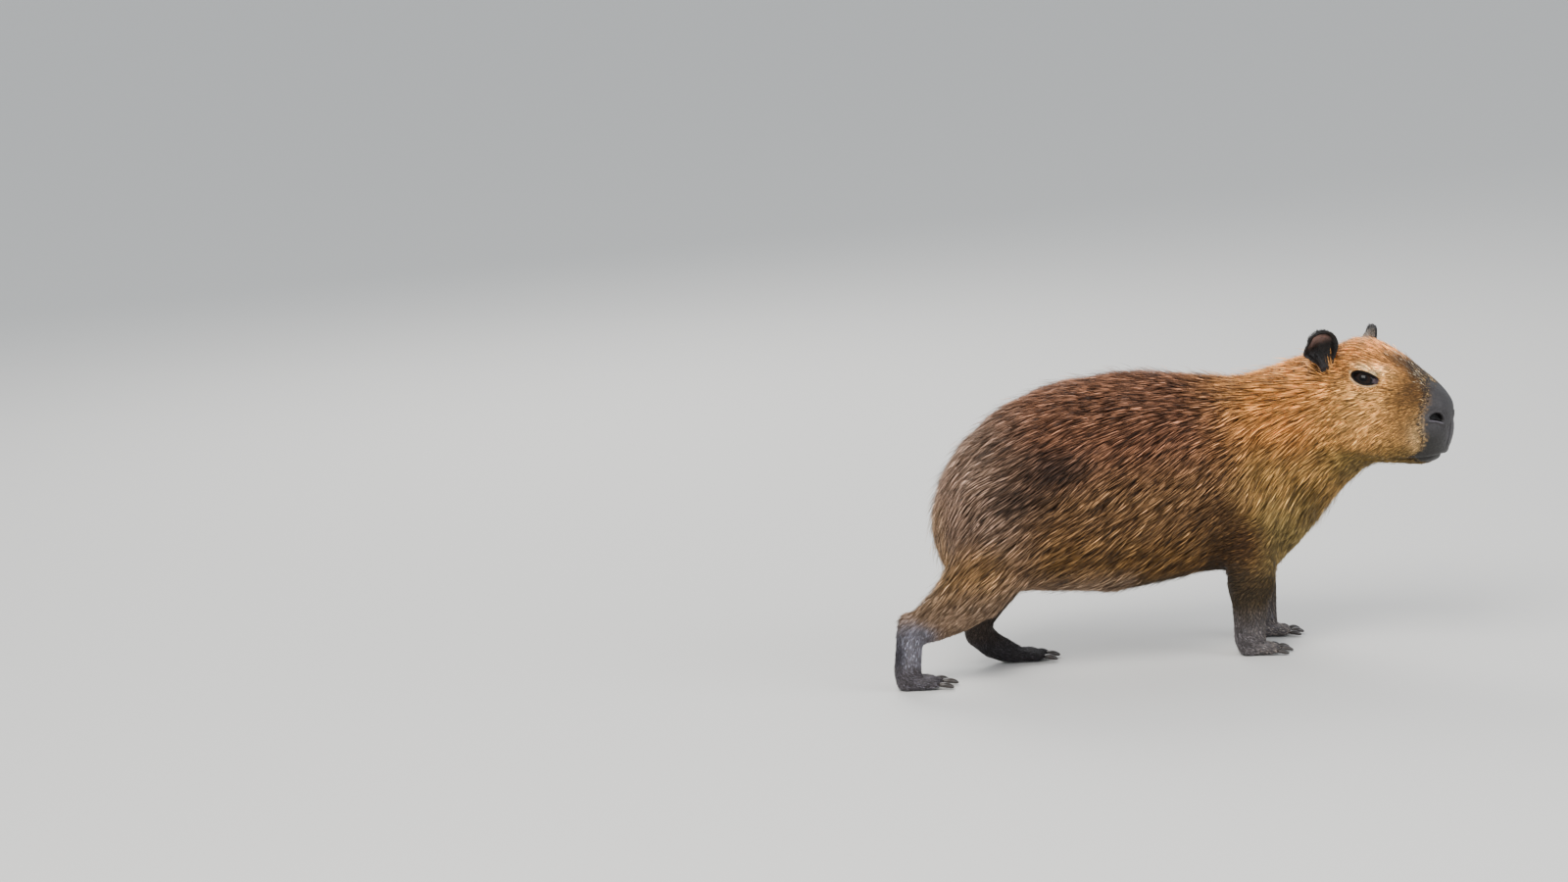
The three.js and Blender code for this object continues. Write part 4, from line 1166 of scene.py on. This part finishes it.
def tuft_pieces(name, tufts, finish, slot="face_coat", uv=None, follows=False):
    """Tufts as joined meshes, each under the limit of faces, dressed and riding on the body."""
    if uv is None:
        uv = chart_unwrap(tufts.roots, tufts.normals, np.zeros(len(tufts.roots), int))
    corners = tufts.corners(follows)
    count, points = corners.shape[:2]
    colours = mix(tufts.root_colour[:, None], tufts.tip_colour[:, None], TUFT_ALONG[None, :, None] ** 0.8)
    spots = columns(TUFT_ACROSS / 2, TUFT_ALONG) * UV_PATCH
    for start in range(0, count, TUFTS_A_PIECE):
        part = slice(start, start + TUFTS_A_PIECE)
        number = len(corners[part])
        faces = (TUFT_FACES + np.arange(number)[:, None, None] * points).reshape(-1, 3)
        mesh = bpy.data.meshes.new(name)
        mesh.vertices.add(number * points)
        mesh.vertices.foreach_set("co", corners[part].astype(np.float32).ravel())
        mesh.loops.add(faces.size)
        mesh.loops.foreach_set("vertex_index", faces.ravel().astype(np.int32))
        mesh.polygons.add(len(faces))
        mesh.polygons.foreach_set("loop_start", np.arange(0, faces.size, 3, dtype=np.int32))
        mesh.update(calc_edges=True)
        corner_uv = (uv[part][:, None] + spots).reshape(-1, 2)[faces.ravel()]
        layer = mesh.uv_layers.new(name="OFBake")
        layer.data.foreach_set("uv", np.clip(corner_uv, 0, 1).astype(np.float32).ravel())
        piece = placed(f"{name}_{start // TUFTS_A_PIECE + 1}", mesh)
        set_colours(piece, colours[part].reshape(-1, 3))
        shade_smooth(piece)
        dress(piece, finish, slot)


def scatter(piece, wanted, weight, rng):
    """Random places over a mesh by area and weight: points and normals."""
    corners = triangles_of(piece)
    points, normals = points_of(piece), normals_of(piece)
    a, b, c = (points[corners[:, i]] for i in range(3))
    area = np.linalg.norm(np.cross(b - a, c - a), axis=1) / 2
    total = np.cumsum(area * weight((a + b + c) / 3))
    chosen = np.searchsorted(total, rng.random(wanted) * total[-1]).clip(0, len(corners) - 1)
    u, v = rng.random((2, wanted))
    flip = u + v > 1
    u, v = np.where(flip, 1 - u, u), np.where(flip, 1 - v, v)
    weights = np.stack([1 - u - v, u, v], axis=1)[:, :, None]
    return (points[corners[chosen]] * weights).sum(1), unit((normals[corners[chosen]] * weights).sum(1))


# Locks: how many near leaders a tuft has to choose from, how much longer than wide a lock is, its share of a
# tuft's tone, and how far its tufts lean together.
LOCK_CHOICES = 5
LOCK_STRETCH = 0.9
LOCK_TONE = 0.25
LOCK_GATHER = 0.3
# Ranges that a tuft's length, width and tilt are multiplied by, and what a stray one's tilt gains.
LENGTH_RANGE, WIDTH_RANGE, TILT_RANGE = (0.65, 1.15), (0.7, 1.25), (0.8, 1.2)
STRAY_TILT = 0.15, 0.34
EAR_HAIR_HALF, EAR_HAIR_TILT = 0.24 * MM, 0.28
WHISKER_PLACE, WHISKER_REACH = (545, 46, 335), (10, 14, 13)
# Ranges of length and half width in millimetres, and of tilt.
WHISKER_LENGTH, WHISKER_HALF, WHISKER_TILT = (18, 32), (0.14, 0.2), (0.35, 0.8)
# Shares of the tufts that are bright, that are pale flecks on the bridge, and that stand out of the coat.
GLINTS = 0.11
FLECKS = 0.035
STRAY_BODY, STRAY_FACE = 0.07, 0.03
# Changes to the markings' colours: dull and shiny hairs at the rear and the front, and roots.
DULL_REAR, DULL_FORE = np.array([[1.1, 0.96, 0.8], [0.94, 0.96, 1.06]])
SHINY_REAR, SHINY_FORE = np.array([[1.0, 1.04, 1.12], [1.1, 1.0, 0.8]])
ROOT_WARMTH = np.array([1.1, 0.96, 0.84])


def lock_leaders(roots, lie, spacing, rng):
    """For each tuft the one that its lock gathers round."""
    leaders = rng.choice(len(roots), len(roots) // spacing, replace=False)
    tree = KDTree(len(leaders))
    for i, leader in enumerate(leaders):
        tree.insert(roots[leader], i)
    tree.balance()
    found = leaders[np.array([[hit[1] for hit in tree.find_n(p, LOCK_CHOICES)] for p in roots])]
    offset = roots[found] - roots[:, None]
    along = (offset * lie[:, None]).sum(2)
    apart = (offset ** 2).sum(2) - LOCK_STRETCH * along ** 2
    return np.take_along_axis(found, apart.argmin(1)[:, None], 1)[:, 0]


def grown(roots, normals, spacing, gather, rng):
    """The coat's tufts at these roots, in locks that lean together, with the skin's markings."""
    count = len(roots)
    s = straightened(roots)
    along, up = s[:, 0], s[:, 2]
    face = face_share(s)
    gap, _ = eye_gap(roots)
    lie = lie_of(roots, normals)
    length, half, tilt = tuft_sizes(s, gap)
    leader = lock_leaders(roots, lie, spacing, rng)
    value = mix(rng.random(count), rng.random(count)[leader], LOCK_TONE)
    glint = rng.random(count) < GLINTS
    shine = np.maximum(value, glint)
    length = length * rng.uniform(*LENGTH_RANGE, count)
    half = half * rng.uniform(*WIDTH_RANGE, count) * mix(1.0, 1.3, glint)
    tilt = tilt * mix(0.6, 1.5, shine) * rng.uniform(*TILT_RANGE, count)
    stray = rng.random(count) < mix(STRAY_BODY, STRAY_FACE, face)
    tilt = tilt + stray * rng.uniform(*STRAY_TILT, count)
    meet = roots[leader] + lie[leader] * length[leader][:, None]
    lie = unit(painted(lie, (unit(meet - roots), gather * below(-gap, -20, -6))))
    lie, tilt = raised_by_ears(roots, lie, tilt)
    low = below(up, 70, 190) * (1 - face)
    fore = above(along, 190, 310)
    swing = layered(
        2.4, (1.9, fore), (2.0, face), (0.9, np.maximum(low, above(along, 490, 545))), (1.3, arm_share(s)))
    bright = (0.78 * np.exp(swing * (2 * value - 1)) * mix(1.0, 2.0, glint))[:, None]
    warm = painted(painted(DULL_REAR, (DULL_FORE, fore)), (painted(SHINY_REAR, (SHINY_FORE, fore)), shine))
    base = marking(roots)
    bare = nose_share(s)
    chance = rng.random(count)
    on_bridge = (along > 495 * MM) & (up > 405 * MM) & (up + 0.8 * (along - 520 * MM) > 425 * MM)
    for colour, chosen in (
            (NOSE, chance < 0.8 * smoothstep(bare, 0.02, 0.5)),
            (MUZZLE_SIDE, (bare > 0.1) & (bare < 0.8) & (chance > 0.82)),
            (FLECK, on_bridge & (rng.random(count) < FLECKS))):
        base = np.where(chosen[:, None], colour, base)
    root_colour = base * mix(0.34, 0.5, face)[:, None] * bright ** 0.4 * ROOT_WARMTH
    tip_colour = base * bright * warm
    return Tufts(roots, normals, square_to(lie, normals), length, half, tilt, root_colour, tip_colour)


def raised_by_ears(roots, lie, tilt):
    """Turns tufts round an ear's foot up along it."""
    for side in (RIGHT, LEFT):
        base, lean, _, _ = ear_axes(side)
        near = below(np.linalg.norm(roots - base, axis=1), *EAR_FOOT)
        lie = unit(painted(lie, (lean, near)))
        tilt = tilt + EAR_FOOT_TILT * near
    return lie, tilt


def cup_share(points):
    """1 in the cups of the ears, down to the skin."""
    share = np.zeros(len(points))
    for side in (RIGHT, LEFT):
        base, lean, rearward, face = ear_axes(side)
        offset = points - base
        upward, across = offset @ lean / CUP_UP, offset @ rearward / CUP_HALF
        inward = (offset @ face + CUP_BACK) / CUP_DEEP
        share = np.maximum(share, np.exp(-upward ** 4 - across ** 4 - inward ** 4))
    return share


def build_coat(skin, lids, finish):
    """The coat: long tufts on the body and neck, short ones on the head and legs, fine ones on the lids."""
    rng = np.random.default_rng(COAT_SEED)
    for follows, parts, count, spacing in (
            (True, (BODY, NECK_PART), BODY_TUFTS, 5), (False, (HEAD, LEGS), FACE_TUFTS, 4)):

        def weight(centres):
            s = straightened(centres)
            gap, _ = eye_gap(centres)
            keep = np.isin(part_of(s), parts) & (gap > 0.8 * LID_WIDE)
            return density_of(s) * (keep & (centres[:, 2] > SOLE_BARE) & (cup_share(centres) < CUP_BARE))

        roots, normals = scatter(skin, count, weight, rng)
        tufts = grown(roots, normals, spacing, LOCK_GATHER, rng)
        found = part_of(straightened(roots))
        uv = chart_unwrap(roots, normals, found)
        for part in parts:
            inside = found == part
            slot = "face_coat" if part == HEAD else "body_coat"
            tuft_pieces(f"coat_{PART_NAMES[part]}", tufts.pick(inside), finish, slot, uv[inside], follows)

    def on_lid(centres):
        gap, _ = eye_gap(centres)
        return (gap > 3 * MM) & (gap < 1.05 * LID_WIDE) & (skin_field(centres) > -4.5 * MM)

    for side, ring in lids.items():
        roots, normals = scatter(ring, LID_TUFTS, on_lid, rng)
        tuft_pieces(f"coat_lids_{SIDE_NAMES[side]}", grown(roots, normals, 8, 0.0, rng), finish)


def build_ear_hair(ear, side, finish):
    """Short dark hair on the back of an ear and sparse hair inside its cup."""
    rng = np.random.default_rng(COAT_SEED + side)
    base, lean, _, face = ear_axes(side)
    roots, normals = scatter(ear, EAR_TUFTS, lambda centres: above((centres - base) @ lean, 0, 8), rng)
    behind = smoothstep(-(normals @ face), 0.1, 0.5)
    height = (roots - base) @ lean / EAR["height"]
    keep = rng.random(len(roots)) < mix(0.5 - 0.42 * smoothstep(height, 0.25, 0.6), 1.0, behind)
    roots, normals, behind, height = (values[keep] for values in (roots, normals, behind, height))
    count = len(roots)
    lie = square_to(lean + 0.25 * noise(roots, 8)[:, None] * np.cross(normals, lean), normals)
    length = mix(3.0, 4.2, behind) * MM * rng.uniform(0.6, 1.2, count)
    half = EAR_HAIR_HALF * rng.uniform(0.7, 1.2, count)
    tilt = EAR_HAIR_TILT * rng.uniform(0.6, 1.5, count)
    shade = rng.uniform(0.6, 1.5, count)[:, None]
    back = painted(EAR_BACK, (EAR_RIM, smoothstep(height, 0.5, 0.9)))
    # Hair inside the cup takes the cup's near-black painted shade; hair on the back does not.
    colour = painted(EAR_CUP_SHADE, (back, behind))
    tufts = Tufts(roots, normals, lie, length, half, tilt, 0.7 * colour, colour * shade)
    tuft_pieces(f"ear_hair_{SIDE_NAMES[side]}", tufts, finish)


def build_whiskers(skin, finish):
    """Fine dark whiskers on the sides of the muzzle."""
    rng = np.random.default_rng(COAT_SEED)

    def weight(centres):
        return blob(mirrored(straightened(centres)), WHISKER_PLACE, WHISKER_REACH) ** 2

    roots, normals = scatter(skin, WHISKERS, weight, rng)
    lie = square_to(bend_direction([-1, 0, -0.35], straightened(roots)[:, 0]), normals)
    length = rng.uniform(*WHISKER_LENGTH, WHISKERS) * MM
    half = rng.uniform(*WHISKER_HALF, WHISKERS) * MM
    tilt = rng.uniform(*WHISKER_TILT, WHISKERS)
    colour = WHISKER * rng.uniform(0.6, 1.8, WHISKERS)[:, None]
    tuft_pieces("whiskers", Tufts(roots, normals, lie, length, half, tilt, colour, colour), finish)


# Building the model.
# How bright the skin under the coat is against the markings, on the body and on the face.
SKIN_DEPTH, SKIN_DEPTH_FACE = 0.5, 0.72


def build_skin():
    """The skin with its folds, and what it replaces."""
    skin = skin_mesh()
    points = points_of(skin)
    points = points + head_relief(straightened(points))[:, None] * normals_of(skin)
    for side in (RIGHT, LEFT):
        points = sink_socket(points, side)
    set_points(skin, points)
    s = straightened(points)
    depth = layered(SKIN_DEPTH, (SKIN_DEPTH_FACE, face_share(s)), (1.0, nose_share(s)))
    colour = depth[:, None] * marking(points)
    for side in (RIGHT, LEFT):
        r, up = nostril_share(s, side)
        lower = bell(r, 1.08, 0.12) * smoothstep(-up / NOSTRIL_HALF[1], 0.4, 0.95)
        # A pale lower rim, and painted shade inside the nostril's opening.
        colour = painted(colour, (NOSTRIL_RIM, 0.8 * lower), (NOSTRIL_SHADE, 1 - smoothstep(r, 0.75, 1.02)))
    set_colours(skin, colour)
    dress(skin, finish_of("skin"), "body_coat", *FLESH)
    return skin


def build_eyes():
    """Eyeballs and lids, with the lids by side for the coat."""
    ball_finish, lid_finish = finish_of("eye"), finish_of("lid")
    rings = {}
    for side in (RIGHT, LEFT):
        ball = eyeball(side)
        flat = on_eye_face(points_of(ball), side)
        away = np.linalg.norm(flat, axis=1)
        set_colours(ball, painted(
            PUPIL, (IRIS, above(away, 5.2, 6.6)), (EYE_DARK, above(away, 9.5, 11.5)),
            (EYE_CORNER, above(flat[:, 0], 12.5, 15.5))))
        dress(ball, ball_finish, "eye", f"eye_{SIDE_NAMES[side]}")
        rings[side] = lid_ring(side)
        points = points_of(rings[side])
        forward, up = on_eye_face(points, side).T
        gap = opening_distance(columns(forward, up))
        lower = above(-up, 1, 5)
        rim = below(gap - mix(3.4, 2.4, lower) * MM, -0.7, 0.7)
        set_colours(rings[side], painted(
            0.8 * marking(points), (LOWER_LID, bell(gap, 3.6 * MM, 1.0 * MM) * lower),
            (0.8 * BROW, 0.8 * above(up, 1, 5) * above(gap, 3.2, 4.5)), (LID_RIM, rim),
            (EYE_CORNER, 0.8 * above(forward, 15, 18) * below(gap, 0.5, 2.5))))
        dress(rings[side], lid_finish, "face_coat")
    return rings


def build_ears(hair_finish):
    """The ears with their hair."""
    finish = finish_of("ear")
    for side in (RIGHT, LEFT):
        ear, places = ear_piece(side)
        rim, front, height = places.T
        # Inside the cup: a painted sheen at the top over pinkish-grey skin, and near-black painted shade
        # lower down.
        cup = painted(EAR_CUP_SHADE, (EAR_CUP_SHEEN, smoothstep(height, 0.5, 0.85)))
        set_colours(ear, painted(EAR_BACK, (cup, front), (EAR_RIM, smoothstep(rim, 0.1, 0.6))))
        dress(ear, finish, "ear_skin", f"ear_{SIDE_NAMES[side]}")
        build_ear_hair(ear, side, hair_finish)


def build_claws():
    """The claws, rounded from the solids."""
    finish = claw_finish()
    for name in sorted(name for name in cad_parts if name.startswith("claw_")):
        nail = placed(name.replace("claw", "nail"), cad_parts[name].data.copy())
        with edited(nail) as mesh:
            bmesh.ops.remove_doubles(mesh, verts=mesh.verts, dist=0.01 * MM)
        rounding = nail.modifiers.new("rounding", "SUBSURF")
        rounding.levels = rounding.render_levels = 2
        evaluated = nail.evaluated_get(bpy.context.evaluated_depsgraph_get())
        smooth = bpy.data.meshes.new_from_object(evaluated)
        nail.modifiers.clear()
        nail.data = smooth
        nail.data.materials.clear()
        shade_smooth(nail)
        dress(nail, finish, "claw", name)


# The stage: floor, lights and camera.
FRAME_SIZE = (1600, 900)
# Angles in degrees. The straight frame's zero is seen at the centre pixel.
CAMERA = {
    "heading": 13, "height": 14, "roll": -3,
    "distance": 6.0, "pixels_a_metre": 680, "centre_pixel": (1110, 676),
}
SENSOR = 36.0
FLOOR_SIZE = 60.0
FLOOR_COLOUR = (0.62, 0.61, 0.59, 1)
SKY_COLOUR, SKY_STRENGTH = (0.9, 0.95, 1.0, 1), 0.95
# Each light's name, place, size, power and colour. All are aimed at one place.
LIGHTS = [
    ("key", (-1.6, -2.2, 3.4), 2.2, 180, (1.0, 0.97, 0.92)),
    ("fill", (2.8, -2.0, 1.8), 2.4, 75, (0.93, 0.96, 1.0)),
    ("rim", (-0.4, 3.0, 2.6), 2.0, 90, (1.0, 0.98, 0.95)),
]
LIT_PLACE = (0, 0, 0.25)


def camera_axes():
    """The camera's directions, its place before the row's origin is taken off, and its focus in pixels."""
    heading, height, roll = (math.radians(CAMERA[k]) for k in ("heading", "height", "roll"))
    look = np.array([
        math.sin(heading) * math.cos(height), math.cos(heading) * math.cos(height), -math.sin(height)])
    right = unit(np.cross(look, [0, 0, 1]))
    up = np.cross(right, look)
    tilted = columns(
        math.cos(roll) * right + math.sin(roll) * up, math.cos(roll) * up - math.sin(roll) * right, -look)
    focal = CAMERA["pixels_a_metre"] * CAMERA["distance"]
    column, row = CAMERA["centre_pixel"]
    ray = unit(np.array([(column - FRAME_SIZE[0] / 2) / focal, -(row - FRAME_SIZE[1] / 2) / focal, -1.0]))
    ray_right = unit(np.cross(ray, [0, 1, 0]))
    aim = columns(ray_right, np.cross(ray_right, ray), -ray)
    return tilted @ aim.T, -CAMERA["distance"] * look, focal


def build_camera():
    axes, place, focal = camera_axes()
    data = bpy.data.cameras.new("camera")
    data.sensor_width = SENSOR
    data.lens = focal / FRAME_SIZE[0] * SENSOR
    data.clip_end = 100
    camera = placed("camera", data)
    camera.matrix_world = Matrix.Translation(Vector(place - ORIGIN)) @ Matrix(axes).to_4x4()
    bpy.context.scene.camera = camera


def build_stage():
    """The floor, the lights and the sky."""
    half = FLOOR_SIZE / 2
    corners = [(-half, -half, 0), (half, -half, 0), (half, half, 0), (-half, half, 0)]
    floor = new_mesh("floor", corners, [(0, 1, 2, 3)])
    finish = Finish("floor", 0.8, 0.2)
    finish.inputs["Base Color"].default_value = FLOOR_COLOUR
    floor.data.materials.append(finish.material)
    for name, place, size, power, colour in LIGHTS:
        data = bpy.data.lights.new(name, "AREA")
        data.size = size
        data.energy = power
        data.color = colour
        light = placed(name, data)
        light.location = place
        aim = Vector(LIT_PLACE) - Vector(place)
        light.rotation_euler = aim.to_track_quat("-Z", "Y").to_euler()
    world = bpy.data.worlds.new("world")
    world.use_nodes = True
    sky = world.node_tree.nodes["Background"].inputs
    sky["Color"].default_value = SKY_COLOUR
    sky["Strength"].default_value = SKY_STRENGTH
    bpy.context.scene.world = world


skin = build_skin()
lids = build_eyes()
coat_finish = finish_of("coat")
build_ears(coat_finish)
build_claws()
build_coat(skin, lids, coat_finish)
build_whiskers(skin, coat_finish)
build_stage()
build_camera()
